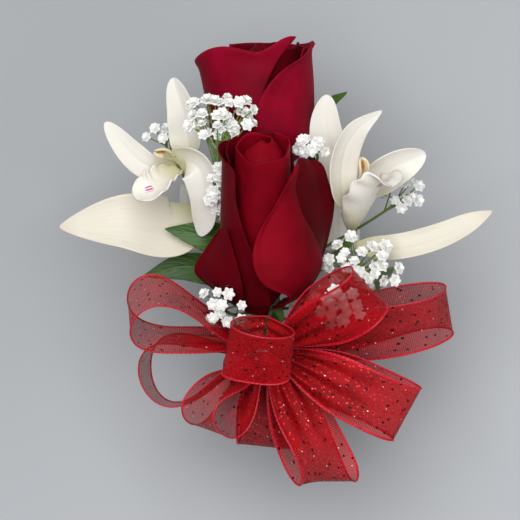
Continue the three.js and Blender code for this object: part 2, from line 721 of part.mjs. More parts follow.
const sprigs = {
  sprig_top: {
    stalk: [
      fromBundle(-1, 4, 2.6), at(-13, 9, 8), at(-19.2, 18, 22), at(-19.4, 30, 35), at(-17.5, 52, 36),
    ],
    spread: at(11, 7, 0), count: 14, depth: 2, leave: 0.75,
  },
  sprig_right_top: {
    stalk: [fromBundle(1, 24, 1.5), at(13.5, 29, 9), at(17.5, 37, 22), at(15.5, 41, 31)],
    spread: at(5, 3.6, 0), count: 5, depth: 1, leave: 0.7,
  },
  sprig_far_right: {
    stalk: [fromBundle(1, -3, 1), at(20, 4.5, 1.5), at(38, 15, 4), at(51, 24, 9)],
    spread: at(6, 6.5, 0), count: 6, depth: 1, leave: 0.75,
  },
  sprig_right: {
    stalk: [fromBundle(1, -18, 1.5), at(16, -17, 7), at(26, -10, 14), at(34, -1, 22)],
    spread: at(13, 8.5, 0), count: 14, depth: 2, leave: 0.7,
  },
  sprig_lower_left: {
    stalk: [fromBundle(-1, -19, 1.5), at(-11, -20, 8), at(-15, -19.5, 17), at(-17.5, -18.9, 32)],
    spread: at(5.4, 5.4, 0), count: 7, depth: 1, leave: 0.7,
  },
  sprig_knot: {
    stalk: [fromBundle(1, -21.5, 1.5), at(9, -22.5, 8), at(14, -21, 14), at(18.5, -17.5, 20)],
    spread: at(10, 6.5, 0), count: 8, depth: 1, leave: 0.6,
  },
  sprig_far_left: {
    stalk: [fromBundle(-1, 23.8, 0), at(-20, 30, 0.5), at(-34, 37, 5), at(-40.5, 45.5, 11)],
    spread: at(4.2, 4.2, 0), count: 3, depth: 1, leave: 0.75,
  },
};
for (const [name, shape] of Object.entries(sprigs)) {
  spray.add(named(name, sprig(shape), 'floret'));
}

// Bow

const waistBottom = STEM_RADIUS + SEAT_GAP;
const waistTop = waistBottom + WAIST_HEIGHT;
const tieReach = WAIST_RADIUS - TIE_WIRE_RADIUS + 0.1;

// Tie wire: an upright ring with round ends, about the bow's waist and the stem bundle.
function tieRing() {
  const points = [];
  const arcSteps = 8;
  for (const [first, height] of [[0, waistTop], [Math.PI, 0]]) {
    for (let k = 0; k < arcSteps; k += 1) {
      const turn = first + (Math.PI * k) / arcSteps;
      points.push(at(tieReach * Math.cos(turn), WAIST_PLACE, height + tieReach * Math.sin(turn)));
    }
  }
  const path = new THREE.CatmullRomCurve3(points, true, 'catmullrom', 0.5);
  const steps = 20;
  const across = at(0, -1, 0);
  const rings = Array.from({ length: steps }, (_, j) => {
    const inward = across.clone().cross(path.getTangent(j / steps));
    return circle(path.getPoint(j / steps), inward, across, TIE_WIRE_RADIUS, 5);
  });
  return loft(rings, true);
}

// Waist: the ribbon gathered into upright pleats, narrowed at both ends, with a groove
// where the wire runs up one side, over the top and down the other.
function bowWaist() {
  const sides = 3 * WAIST_PLEATS;
  const stations = [
    [waistBottom, WAIST_END], [waistBottom + WAIST_BEVEL, 1],
    [waistTop, 1], [waistTop + WAIST_BEVEL, WAIST_END],
  ];
  const rings = stations.map(([height, scale]) => Array.from({ length: sides }, (_, k) => {
    const turn = (2 * Math.PI * k) / sides;
    const pleat = (WAIST_PLEAT_DEPTH * (1 + Math.cos(WAIST_PLEATS * turn))) / 2;
    const radius = scale * (WAIST_RADIUS - pleat);
    return at(radius * Math.cos(turn), WAIST_PLACE + radius * Math.sin(turn), height);
  }));
  const inside = tieReach - TIE_WIRE_RADIUS - SEAT_GAP;
  const outside = 2 * WAIST_RADIUS;
  const groove = new THREE.Shape();
  groove.moveTo(outside, 0);
  groove.lineTo(outside, waistTop + outside);
  groove.lineTo(-outside, waistTop + outside);
  groove.lineTo(-outside, 0);
  groove.lineTo(-inside, 0);
  groove.lineTo(-inside, waistTop);
  groove.absarc(0, waistTop, inside, Math.PI, 0, true);
  groove.lineTo(inside, 0);
  const width = 2 * (TIE_WIRE_RADIUS + SEAT_GAP);
  const cut = new THREE.ExtrudeGeometry(groove, { depth: width, curveSegments: 4, bevelEnabled: false });
  cut.rotateX(Math.PI / 2).translate(0, WAIST_PLACE + width / 2, 0);
  return toGeometry(toSolid(loft(rings)).subtract(toSolid(cut)));
}

// Ribbon loop: a strip that leaves the waist, swings out to its reach and comes back, pinched
// at both ends. Its path lies between the heading and the opening direction, and its width
// follows the given edge direction, kept square to the path.
function ribbonLoop({ start, heading, edge, reach, belly, pinch = RIBBON_PINCH, taper = 2 }) {
  const opening = heading.clone().cross(edge).normalize();
  const layerGap = RIBBON_THICK + 3 * SEAT_GAP;
  const widest = 2 * Math.sqrt((taper + 1) ** (taper + 1) / (taper + 2) ** (taper + 2));
  const path = (t) => {
    const turn = 2 * Math.PI * t;
    const out = (1 - Math.cos(turn)) / 2;
    const side = (Math.sin(turn) * Math.sin(turn / 2) ** taper) / widest;
    return start.clone()
      .addScaledVector(heading, reach * out)
      .addScaledVector(opening, belly * side + (layerGap / 2) * Math.cos(Math.PI * t));
  };
  return (u, t) => {
    const step = 1e-3;
    const tangent = path(t + step).sub(path(t - step)).normalize();
    const width = edge.clone().addScaledVector(tangent, -edge.dot(tangent)).normalize();
    const spread = THREE.MathUtils.smoothstep(Math.min(t, 1 - t), 0, RIBBON_FAN);
    return path(t).addScaledVector(width, (u * RIBBON_WIDTH / 2) * (pinch + (1 - pinch) * spread));
  };
}

// Loop settings: compass heading in plan, rise towards the viewer, roll of the ribbon's width
// out of the plan, reach, belly, the height where it leaves the waist, and how far the
// ribbon's width slants forwards at the loop's end.
const loops = {
  bow_loop_upper_left: { compass: 160, rise: 16, roll: 55, reach: 48, belly: 8.3, level: 21, taper: 3 },
  bow_loop_left: { compass: 193, rise: -8, roll: 86, reach: 41, belly: 12, level: 9 },
  bow_loop_lower_left: { compass: 228, rise: 14, roll: 57, reach: 31, belly: 7.5, level: 21 },
  bow_loop_low: { compass: 269, rise: -13, roll: 8, reach: 31, belly: 4.5, level: 7.5 },
  bow_loop_low_right: { compass: 294, rise: -1, roll: -26, reach: 47, belly: 5, level: 16, skew: 0.36 },
  bow_loop_right: { compass: 335, rise: 3, roll: 15, reach: 49.5, belly: 4.5, level: 22 },
  bow_loop_far_right: { compass: 12.5, rise: 0, roll: 35, reach: 62, belly: 6, level: 9 },
  bow_loop_upper_right: { compass: 32, rise: 22, roll: 30, reach: 39, belly: 5.5, level: 28 },
};
spray.add(named('bow_tie_wire', tieRing(), 'steel'));
spray.add(named('bow_waist', bowWaist(), 'ribbon'));
for (const [name, { compass, rise, roll, reach, belly, level, taper, skew = 0 }] of Object.entries(loops)) {
  const plan = at(Math.cos(deg(compass)), Math.sin(deg(compass)), 0);
  const heading = plan.clone().multiplyScalar(Math.cos(deg(rise))).setZ(Math.sin(deg(rise)));
  const across = at(-plan.y, plan.x, 0);
  const upright = heading.clone().cross(across).normalize();
  const edge = across.multiplyScalar(Math.cos(deg(roll)))
    .addScaledVector(upright, Math.sin(deg(roll)))
    .addScaledVector(heading, skew);
  const lean = (RIBBON_PINCH * RIBBON_WIDTH * Math.abs(Math.sin(deg(roll)) * Math.sin(deg(rise)))) / 2;
  const start = plan.clone().multiplyScalar(WAIST_RADIUS + SEAT_GAP + lean).add(at(0, WAIST_PLACE, level));
  const strip = ribbonLoop({ start, heading, edge, reach, belly, taper });
  spray.add(named(name, shell(strip, 3, 18, RIBBON_THICK), 'ribbon'));
}
const centreEdge = at(0.1, 0.82, 0.56).normalize();
const centrePinch = 0.45;
const centreLift = SEAT_GAP + (centrePinch * RIBBON_WIDTH * centreEdge.z) / 2;
const centreLoop = ribbonLoop({
  start: at(-2, WAIST_PLACE + 5, waistTop + tieReach + TIE_WIRE_RADIUS + centreLift),
  heading: at(-0.15, -0.45, 0.88).normalize(),
  edge: centreEdge,
  reach: 18,
  belly: 11.5,
  pinch: centrePinch,
  taper: 1,
});
spray.add(named('bow_loop_centre', shell(centreLoop, 3, 20, RIBBON_THICK), 'ribbon'));

const corsage = new THREE.Group();
corsage.add(wristletBand(), clipPlate());
corsage.add(clipTab('clip_tab_left_upper', -1, 1), clipTab('clip_tab_left_lower', -1, -1));
corsage.add(clipTab('clip_tab_right_upper', 1, 1), clipTab('clip_tab_right_lower', 1, -1));
corsage.add(spray);

export default corsage;
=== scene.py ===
# %% [markdown]
# A wrist corsage: two crimson roses, two white orchids, leaves, baby's breath and a bow of sheer
# red ribbon, taped together and clipped to an elastic wristlet. The engineering model is the
# fixed frame, so every petal and loop below is worked out in that same frame. Sizes are written
# in millimetres, and the meshes are made in metres.

# %% Load the frame
import math

import bmesh
import bpy
import numpy as np
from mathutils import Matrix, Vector


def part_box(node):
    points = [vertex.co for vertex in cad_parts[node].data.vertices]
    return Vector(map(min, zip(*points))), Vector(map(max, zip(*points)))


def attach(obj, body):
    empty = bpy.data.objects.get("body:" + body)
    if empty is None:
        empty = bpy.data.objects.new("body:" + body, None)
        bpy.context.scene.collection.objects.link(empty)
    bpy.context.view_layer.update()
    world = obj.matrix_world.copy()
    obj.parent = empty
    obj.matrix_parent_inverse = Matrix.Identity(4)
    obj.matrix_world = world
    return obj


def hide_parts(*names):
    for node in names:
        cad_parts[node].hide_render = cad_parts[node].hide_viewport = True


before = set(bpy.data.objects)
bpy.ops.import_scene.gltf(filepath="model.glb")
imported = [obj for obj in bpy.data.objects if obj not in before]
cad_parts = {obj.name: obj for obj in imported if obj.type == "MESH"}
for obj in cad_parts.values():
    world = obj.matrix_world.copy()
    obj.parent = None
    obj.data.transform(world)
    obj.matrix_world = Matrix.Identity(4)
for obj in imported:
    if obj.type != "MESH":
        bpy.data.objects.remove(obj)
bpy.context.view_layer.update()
BODY = "corsage"
MM = 0.001


# %% [markdown]
# The flowers were laid out in a frame of their own, whose origin lies on the axis of the taped
# stems. The stems' box gives that axis, so nothing has to be fitted by eye.

# %% The spray's own frame
STEM_TOP_END = 25
stems_low, stems_high = (np.array(corner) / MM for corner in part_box("taped_stems"))
SPRAY = (stems_low + stems_high) / 2
SPRAY[1] = stems_high[1] - STEM_TOP_END
print("spray origin, in millimetres:", SPRAY.round(2))

# %% [markdown]
# The photograph looks straight at the flowers. A long lens from far away keeps the view almost
# parallel, and its width in millimetres comes from the scale that the ribbon's width gave.

# %% Camera
VIEW_WIDTH = 189.8
VIEW_DISTANCE = 1500
VIEW_HEIGHT = 80
SENSOR = 36
VIEW_X = -3.65


def add_object(name, data):
    """A new object in the scene."""
    obj = bpy.data.objects.new(name, data)
    bpy.context.scene.collection.objects.link(obj)
    return obj


camera_data = bpy.data.cameras.new("camera")
camera_data.sensor_width = SENSOR
camera_data.sensor_fit = "HORIZONTAL"
camera_data.lens = SENSOR * VIEW_DISTANCE / VIEW_WIDTH
camera = add_object("camera", camera_data)
camera.location = (VIEW_X * MM, SPRAY[1] * MM, (VIEW_HEIGHT + VIEW_DISTANCE) * MM)
bpy.context.scene.camera = camera
print("lens:", round(camera_data.lens, 1), "mm")

# %% [markdown]
# Every piece is a grid of points worked out by a formula of two parameters. Sculpting could give
# such shapes too, but a formula keeps its sizes and can be changed later. Quads join neighbouring
# points, and a grid can be rolled up into a tube.

# %% Grids
def parameters(rows, columns, low=-1.0, closed=False):
    """Two arrays of rows by columns: u from low to 1 along the rows, v from 0 to 1 down them.

    On a grid that closes on itself, u stops one step short of 1.
    """
    along = np.linspace(low, 1, columns, endpoint=not closed)
    v, u = np.meshgrid(np.linspace(0, 1, rows), along, indexing="ij")
    return u, v


def polar(radius, angle, height):
    """Points from a distance from the upright axis, an angle round it and a height."""
    return np.stack(np.broadcast_arrays(radius * np.cos(angle), radius * np.sin(angle), height), -1)


def grid(points, rolled=False, finish=0, scale=(1.0, 1.0)):
    """Quads between neighbouring points of a grid, with a map that runs along both directions.

    A rolled grid joins its last column to its first.
    """
    rows, columns = points.shape[:2]
    span = columns if rolled else columns - 1
    r, c = np.meshgrid(np.arange(rows - 1), np.arange(span), indexing="ij")
    here, after = r * columns + c, r * columns + (c + 1) % columns
    across = np.stack([c, c + 1, c + 1, c], -1) / span * scale[0]
    along = np.stack([r, r, r + 1, r + 1], -1) / (rows - 1) * scale[1]
    return {
        "points": points.reshape(-1, 3),
        "faces": np.stack([here, after, after + columns, here + columns], -1).reshape(-1, 4),
        "map": np.stack([across, along], -1).reshape(-1, 2),
        "finish": finish,
    }


print("a grid of 3 by 4 points has", len(grid(polar(1, *parameters(3, 4)))["faces"]), "faces")

# %% [markdown]
# A piece is one or more grids in one mesh, each with its own finish. Objects could be joined, but
# one mesh from whole arrays is quicker. Points that meet at a pole are welded, a thin petal gets its
# wall from a modifier, and the object then stands for one plain solid of the frame.

# %% Pieces
MAP_NAME = "surface"
WELD = 1e-7


def outward(part):
    """The same closed grid with its faces turned over if its signed volume is negative."""
    a, b, c, d = (part["points"][part["faces"][:, k]] for k in range(4))
    volume = np.einsum("ij,ij->", a, np.cross(b, c)) + np.einsum("ij,ij->", a, np.cross(c, d))
    if volume < 0:
        part["faces"] = part["faces"][:, ::-1]
        part["map"] = part["map"].reshape(-1, 4, 2)[:, ::-1].reshape(-1, 2)
    return part


def piece(name, node, parts, finishes, thickness=0.0, origin=SPRAY):
    """One mesh object from grids in millimetres, welded at its poles, that stands for a node."""
    offsets = np.cumsum([0] + [len(part["points"]) for part in parts])
    points = np.concatenate([part["points"] for part in parts]) + origin
    faces = np.concatenate([part["faces"] + first for part, first in zip(parts, offsets)])
    mesh = bpy.data.meshes.new(name)
    mesh.from_pydata((points * MM).tolist(), [], faces.tolist())
    layer = mesh.uv_layers.new(name=MAP_NAME)
    layer.data.foreach_set("uv", np.concatenate([part["map"] for part in parts]).ravel())
    for finish in finishes:
        mesh.materials.append(finish)
    which = np.concatenate([np.full(len(part["faces"]), part["finish"]) for part in parts])
    mesh.polygons.foreach_set("material_index", which)
    mesh.polygons.foreach_set("use_smooth", np.ones(len(faces), dtype=bool))
    welded = bmesh.new()
    welded.from_mesh(mesh)
    bmesh.ops.remove_doubles(welded, verts=welded.verts, dist=WELD)
    welded.to_mesh(mesh)
    welded.free()
    obj = add_object(name, mesh)
    if thickness:
        wall = obj.modifiers.new("wall", "SOLIDIFY")
        wall.thickness = thickness * MM
        wall.offset = 0
    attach(obj, BODY)
    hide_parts(node)
    print(f"{name}: {len(mesh.polygons)} faces")
    return obj


# %% [markdown]
# Petals and stalks follow smooth curves through a few points, so one curve function serves them
# all. A curve with handles would need three times the numbers. Directions along a curve are
# differences of close points on it.

# %% Curves
TINY = 1e-12


def curve(keys, t):
    """Catmull-Rom curve through evenly spaced keys, read at t from 0 to 1."""
    keys = np.asarray(keys, dtype=float)
    ends = np.concatenate([[2 * keys[0] - keys[1]], keys, [2 * keys[-1] - keys[-2]]])
    t = np.clip(np.asarray(t, dtype=float), 0, 1) * (len(keys) - 1)
    i = np.minimum(t.astype(int), len(keys) - 2)
    f = t - i
    if keys.ndim > 1:
        f = f[..., None]
    before, here, after, beyond = (ends[i + k] for k in range(4))
    bend = 2 * before - 5 * here + 4 * after - beyond + f * (3 * (here - after) + beyond - before)
    return here + 0.5 * f * (after - before + f * bend)


def unit(vectors):
    """The same directions, one long."""
    return vectors / np.maximum(np.linalg.norm(vectors, axis=-1, keepdims=True), TINY)


def square_to(direction, along):
    """What is left of a direction, one long, after its share along another is taken out."""
    return unit(direction - np.sum(along * direction, axis=-1, keepdims=True) * along)


def heading(keys, t, step=1e-3):
    """Direction of the curve at t."""
    return unit(curve(keys, np.minimum(t + step, 1)) - curve(keys, np.maximum(t - step, 0)))


def smooth(x, low, high):
    """0 below low, 1 above high, and an even S between them."""
    x = np.clip((x - low) / (high - low), 0, 1)
    return x * x * (3 - 2 * x)


print("a curve through 0, 1 and 4 is at", curve([0, 1, 4], 0.75), "after three quarters")

# %% [markdown]
# Stems, stalks, the tie wire and the cords in the ribbon's edges are rods: circles carried along a
# path. A curve object with a bevel makes rods too, but as grids they share a mesh with other grids.

# %% Rods
ASIDE = np.array([0.31, 0.17, 0.93])


def circles(path, first, second, radius, sides):
    """A circle of points round each point of a path, in the plane of two directions there."""
    turn = np.linspace(0, 2 * np.pi, sides, endpoint=False)[:, None]
    return path[:, None] + radius * (np.cos(turn) * first[:, None] + np.sin(turn) * second[:, None])


def capped(rings, first, last):
    """Rings closed by a pole at each end."""
    poles = [np.broadcast_to(pole, (1, *rings.shape[1:])) for pole in (first, last)]
    return np.concatenate([poles[0], rings, poles[1]])


def tube(keys, radii, rows=24, sides=12, finish=0):
    """Rod along a curve: circles square to the path, with radii from keys and closed flat ends."""
    t = np.linspace(0, 1, rows)
    path, along = curve(keys, t), heading(keys, t)
    first = square_to(ASIDE, along)
    rings = circles(path, first, np.cross(along, first), curve(radii, t)[:, None, None], sides)
    return outward(grid(capped(rings, path[0], path[-1]), rolled=True, finish=finish))


print("a plain rod has", len(tube([(0, 0, 0), (0, 0, 9)], [1, 1])["faces"]), "faces")

# %% [markdown]
# Finishes come next, and each is a small tree of nodes. It could be laid out by hand in the shader
# editor, but code can be read, repeated and changed. A short class keeps that code easy to read: its
# methods add nodes, link what they are given and hand back an output. A Mix node has sockets of the
# same names for numbers, vectors and colours, so its colour sockets are found by their numbers.

# %% Ways to add nodes
MIX_FACTOR, MIX_FIRST, MIX_SECOND = 0, 6, 7
MIX_RESULT = 2


class Nodes:
    """One node tree, with a method for each kind of node that the finishes need."""

    def __init__(self, tree):
        self.tree = tree

    def fill(self, node, values):
        """Link an output to each input named, or set the input to a number or a colour."""
        for label, value in values.items():
            socket = node.inputs[label]
            if isinstance(value, bpy.types.NodeSocket):
                self.tree.links.new(value, socket)
            elif isinstance(value, tuple):
                socket.default_value = (*value, 1.0)[:len(socket.default_value)]
            else:
                socket.default_value = value

    def add(self, kind, inputs=(), **settings):
        """A new shader node with some of its own settings and inputs."""
        node = self.tree.nodes.new("ShaderNode" + kind)
        for label, value in settings.items():
            setattr(node, label, value)
        self.fill(node, dict(inputs))
        return node

    def math(self, operation, *values, clamp=False):
        """A Math node's result for up to three values."""
        return self.add("Math", enumerate(values), operation=operation, use_clamp=clamp).outputs[0]

    def times(self, a, b):
        """The product of two values."""
        return self.math("MULTIPLY", a, b)

    def ramp(self, factor, *stops):
        """Colours along a factor. A stop is a place and a colour, or a place and a grey."""
        node = self.add("ValToRGB", {0: factor})
        elements = node.color_ramp.elements
        for _ in stops[2:]:
            elements.new(0.5)
        for element, (place, colour) in zip(elements, stops):
            element.position = place
            element.color = (*colour, 1.0) if isinstance(colour, tuple) else (colour, colour, colour, 1.0)
        return node.outputs[0]

    def mix(self, factor, a, b):
        """A colour between a and b."""
        sockets = {MIX_FACTOR: factor, MIX_FIRST: a, MIX_SECOND: b}
        return self.add("Mix", sockets, data_type="RGBA").outputs[MIX_RESULT]

    def tint(self, base, mask, share, colour):
        """A base with some of another colour where a mask is high."""
        return self.mix(self.times(mask, share), base, colour)

    def surface(self):
        """The piece's own map, and its two directions, across and along."""
        where = self.add("UVMap", uv_map=MAP_NAME).outputs["UV"]
        split = self.add("SeparateXYZ", {0: where}).outputs
        return where, split["X"], split["Y"]

    def wave(self, turns):
        """A sine of an angle, moved to run from 0 to 1."""
        return self.math("MULTIPLY_ADD", self.math("SINE", turns), 0.5, 0.5)


# %% [markdown]
# What more than one finish needs is a node group, built once and placed in each material with its
# own values. A group only gives out masks that change over the surface. The first is grain: cloudy
# patches and fine specks. It is in Object coordinates, so it stays fixed to its piece.

# %% Grain group
def new_group(name, inputs, outputs):
    """An empty shader node group with named sockets. inputs give their default values."""
    tree = bpy.data.node_groups.new(name, "ShaderNodeTree")
    for label, value in inputs.items():
        tree.interface.new_socket(label, in_out="INPUT", socket_type="NodeSocketFloat").default_value = value
    for label in outputs:
        tree.interface.new_socket(label, in_out="OUTPUT", socket_type="NodeSocketFloat")
    return Nodes(tree), tree.nodes.new("NodeGroupInput").outputs, tree.nodes.new("NodeGroupOutput")


def build_grain():
    """Cloudy patches and fine grain from two noises in Object coordinates."""
    nodes, given, out = new_group(
        "surface_grain", {"Patch Scale": 60, "Grain Scale": 900}, ["Patch", "Grain"])
    where = nodes.add("TexCoord").outputs["Object"]
    for label, detail in (("Patch", 3), ("Grain", 4)):
        noise = nodes.add("TexNoise", dict(Vector=where, Scale=given[f"{label} Scale"], Detail=detail))
        nodes.fill(out, {label: noise.outputs["Fac"]})
    return nodes.tree


GRAIN = build_grain()
print("node group:", GRAIN.name)

# %% [markdown]
# The second group is veins. On a real petal they run from the base to the rim, so they follow the
# piece's own map instead of its place in space. They could be drawn by hand as a picture, but a
# wave across the map needs only a count and a little waver.

# %% Vein group
def build_veins():
    """Veins that run along the map's second direction and waver a little, with a midrib.

    Vein is a row of soft lines across the map, Midrib a line in its middle, Along the distance
    from the base, and Edge the nearness to either side.
    """
    nodes, given, out = new_group(
        "petal_veins", {"Count": 26, "Waver": 0.03, "Midrib Width": 0.03},
        ["Vein", "Midrib", "Along", "Edge"])
    where, across, along = nodes.surface()
    noise = nodes.add("TexNoise", dict(Vector=where, Scale=6))
    drift = nodes.times(nodes.math("SUBTRACT", noise.outputs["Fac"], 0.5), given["Waver"])
    turns = nodes.times(nodes.math("ADD", across, drift), nodes.times(given["Count"], 2 * math.pi))
    middle = nodes.math("ABSOLUTE", nodes.math("SUBTRACT", across, 0.5))
    rib = nodes.math("DIVIDE", middle, given["Midrib Width"])
    nodes.fill(out, dict(
        Vein=nodes.wave(turns), Midrib=nodes.math("SUBTRACT", 1.0, rib, clamp=True), Along=along,
        Edge=nodes.times(middle, 2.0)))
    return nodes.tree


VEINS = build_veins()
print("node group:", VEINS.name)

# %% [markdown]
# All finishes share the same start: a material with its shader, the grain at its own scale and,
# where the piece has a direction, the veins. Constant values go straight to the shader's sockets.

# %% One finish
def spaced(values):
    """The same values under names whose underscores are spaces, as sockets are named."""
    return {label.replace("_", " "): value for label, value in values.items()}


class Finish(Nodes):
    """A material with its shader, and the masks that its grain and veins give."""

    def __init__(self, name, patch_scale, grain_scale, veins=None, **sockets):
        self.material = bpy.data.materials.new(name)
        self.material.use_nodes = True
        super().__init__(self.material.node_tree)
        self.shader = self.tree.nodes["Principled BSDF"]
        self.paint(**sockets)
        masks = self.place(GRAIN, Patch_Scale=patch_scale, Grain_Scale=grain_scale)
        self.patch, self.grain = masks["Patch"], masks["Grain"]
        if veins:
            masks = self.place(VEINS, **veins)
            self.vein, self.midrib = masks["Vein"], masks["Midrib"]
            self.along, self.edge = masks["Along"], masks["Edge"]

    def place(self, group, **values):
        """A node group in this material with some inputs set. Gives its outputs."""
        return self.add("Group", spaced(values), node_tree=group).outputs

    def paint(self, **values):
        """Values for the shader's own sockets, or outputs that are linked to them."""
        self.fill(self.shader, spaced(values))

    def relief(self, height, strength, distance):
        """The normal that a Bump node makes from a height. distance is in metres."""
        return self.add("Bump", dict(Height=height, Strength=strength, Distance=distance)).outputs["Normal"]

    def done(self, colour, rough, relief):
        """The material, once it has its colour, its relief, and a roughness that rises with the grain."""
        least, share = rough
        roughness = self.math("MULTIPLY_ADD", self.grain, share, least)
        self.paint(Base_Color=colour, Roughness=roughness, Normal=self.relief(*relief))
        return self.material


# %% [markdown]
# A rose petal is velvet: dark where it faces you, a little brighter where light grazes it, with
# fine veins. A picture of a petal could be laid on it, but nodes stay sharp at any distance. Sheen
# gives the velvet, and the veins give relief and colour. Petals that lie further back get a darker
# red that is painted shade, standing in for the shade of the petals round them, and the back rose
# is a cooler one.

# %% Rose petal finish
def rose_finish(name, deep, lit):
    """Crimson between a deep and a lit tone, by patches, veins and height up the petal."""
    rose = Finish(
        name, 45, 1500, dict(Count=18, Waver=0.25, Midrib_Width=0.02), Sheen_Weight=0.04,
        Sheen_Roughness=0.35, Sheen_Tint=(0.9, 0.1, 0.15, 1), IOR=1.4, Specular_IOR_Level=0.06)
    tone = rose.math("MULTIPLY_ADD", rose.patch, 0.7, rose.times(rose.along, 0.15))
    base = rose.ramp(tone, (0.25, deep), (0.55, lit))
    height = rose.math("MULTIPLY_ADD", rose.vein, 0.5, rose.grain)
    return rose.done(rose.tint(base, rose.vein, 0.06, deep), (0.4, 0.3), (height, 0.08, 0.0003))


ROSE_FRONT = rose_finish("rose_crimson", (0.09, 0.0006, 0.003), (0.24, 0.0016, 0.010))
# Painted shade: a darker copy of the crimson for petals that lie in other petals' shade.
ROSE_PAINTED_SHADE = rose_finish("rose_crimson_painted_shade", (0.05, 0.0004, 0.002), (0.13, 0.0009, 0.006))
ROSE_BACK = rose_finish("rose_crimson_cool", (0.11, 0.0008, 0.007), (0.29, 0.0022, 0.020))
print("rose finishes: 3")

# %% [markdown]
# Orchid petals are waxy and a little see-through, so they get some subsurface light. Their veins
# are only just visible, and the base is tinged with green. The lower sepals are creamier, with a
# brownish tip, and a lip has magenta streaks. Such marks could be painted, but masks along and
# across the petal's own map follow it if it changes.

# %% Orchid petal finishes
WHITE = (0.82, 0.785, 0.72)
GREEN_BASE = (0.52, 0.51, 0.28)
VEIN_TINT = (0.58, 0.52, 0.36)
PATCH_TINT = (0.70, 0.62, 0.46)
MAGENTA = (0.42, 0.018, 0.27)
MARK_SOFT = 0.04


def orchid_finish(name, middle, tip, mark=None):
    """White or cream with faint long veins, greener at the base.

    A lip's magenta streaks follow its veins between two shares of its length, and out to a share
    of its half width.
    """
    wax = Finish(
        name, 70, 1800, dict(Count=11, Waver=0.05, Midrib_Width=0.035), Subsurface_Weight=0.18,
        Subsurface_Radius=(0.004, 0.003, 0.002), Subsurface_Scale=0.6, IOR=1.42)
    base = wax.ramp(wax.along, (0.0, GREEN_BASE), (0.3, middle), (0.8, middle), (1.0, tip))
    lined = wax.tint(base, wax.vein, 0.06, VEIN_TINT)
    shaded = wax.tint(lined, wax.patch, 0.2, PATCH_TINT)
    if mark:
        low, high, wide = mark
        streak = wax.ramp(wax.vein, (0.25, 0), (0.6, 1))
        band = wax.ramp(wax.along, (low, 0), (low + MARK_SOFT, 1), (high - MARK_SOFT, 1), (high, 0))
        inner = wax.ramp(wax.edge, (0.7 * wide, 1), (wide, 0))
        mask = wax.math("MULTIPLY", wax.times(streak, band), inner, clamp=True)
        shaded = wax.mix(mask, shaded, MAGENTA)
    return wax.done(shaded, (0.34, 0.2), (wax.times(wax.vein, 0.6), 0.1, 0.0004))


ORCHID = orchid_finish("orchid_white", WHITE, (0.86, 0.84, 0.82))
CREAM_SEPAL = orchid_finish("orchid_cream", (0.72, 0.67, 0.57), (0.60, 0.52, 0.45))
LEFT_LIP = orchid_finish("orchid_left_lip_marked", WHITE, WHITE, mark=(0.5, 0.68, 0.22))
RIGHT_LIP = orchid_finish("orchid_right_lip_marked", WHITE, WHITE, mark=(0.5, 0.76, 0.2))
print("orchid petal finishes: 4")

# %% [markdown]
# The column in an orchid's middle is a cream hood with a warm hollow under its end. A separate dark
# piece could be set inside, but two masks of the hood's own map tint the hollow well enough.

# %% Orchid column finish
COLUMN_FOOT, COLUMN_MIDDLE, COLUMN_END = (0.66, 0.64, 0.36), (0.80, 0.74, 0.54), (0.82, 0.72, 0.50)
COLUMN_CLOUD = (0.6, 0.45, 0.2)
ORANGE_BROWN = (0.46, 0.17, 0.03)


def column_finish():
    """Cream yellow, warming to orange brown in the hollow at the end."""
    cream = Finish("orchid_column_cream", 120, 2000, dict(Count=6), IOR=1.42)
    base = cream.ramp(cream.along, (0.0, COLUMN_FOOT), (0.5, COLUMN_MIDDLE), (1.0, COLUMN_END))
    clouded = cream.tint(base, cream.patch, 0.2, COLUMN_CLOUD)
    inside = cream.ramp(cream.edge, (0.2, 1), (0.62, 0))
    end = cream.ramp(cream.along, (0.4, 0), (0.6, 1), (0.84, 1), (0.93, 0))
    hollow = cream.mix(cream.times(inside, end), clouded, ORANGE_BROWN)
    return cream.done(hollow, (0.35, 0.2), (cream.grain, 0.15, 0.0002))


COLUMN = column_finish()
print("column finish:", COLUMN.name)

# %% [markdown]
# Leaves and stems share one green recipe: a darker blade, a lighter midrib and slanted side veins.
# The side veins could be modelled, but they are finer than a face, so a sharp wave along the map
# draws them.

# %% Green finishes
SIDE_VEINS = 9.0
SIDE_SLANT = -2.6
SIDE_SHARPNESS = 14


def green_finish(name, dark, light, rib, gloss):
    """Green between two tones by patches, with a pale midrib and side veins."""
    green = Finish(
        name, 55, 1400, dict(Count=1, Waver=0.02, Midrib_Width=0.045), Coat_Weight=gloss,
        Coat_Roughness=0.3, IOR=1.45)
    base = green.ramp(green.patch, (0.3, dark), (0.7, light))
    slant = green.math("MULTIPLY_ADD", green.along, SIDE_VEINS, green.times(green.edge, SIDE_SLANT))
    line = green.math("ABSOLUTE", green.math("SINE", green.times(slant, math.pi)))
    side = green.math("POWER", line, SIDE_SHARPNESS)
    lined = green.tint(base, side, 0.4, rib)
    ribbed = green.tint(lined, green.midrib, 0.8, rib)
    return green.done(ribbed, (0.35, 0.25), (green.math("ADD", side, green.midrib), 0.3, 0.0005))


LEAF = green_finish("leaf_green", (0.010, 0.045, 0.002), (0.032, 0.105, 0.006), (0.08, 0.20, 0.02), 0.08)
GREY_LEAF = green_finish("leaf_grey_green", (0.05, 0.10, 0.045), (0.12, 0.19, 0.10), (0.22, 0.30, 0.16), 0.05)
STEM = green_finish("stem_green", (0.06, 0.12, 0.018), (0.14, 0.22, 0.04), (0.18, 0.27, 0.06), 0.1)
print("green finishes: 3")

# %% [markdown]
# A floret of baby's breath is chalk white with a green heart. Light goes some way into its thin
# petals, and strong subsurface light shows that without a clear shader.

# %% Floret finish
FLORET_HEART, FLORET_MIDDLE, FLORET_RIM = (0.66, 0.68, 0.34), (0.93, 0.92, 0.85), (0.98, 0.98, 0.96)
FLORET_CLOUD = (0.88, 0.85, 0.74)


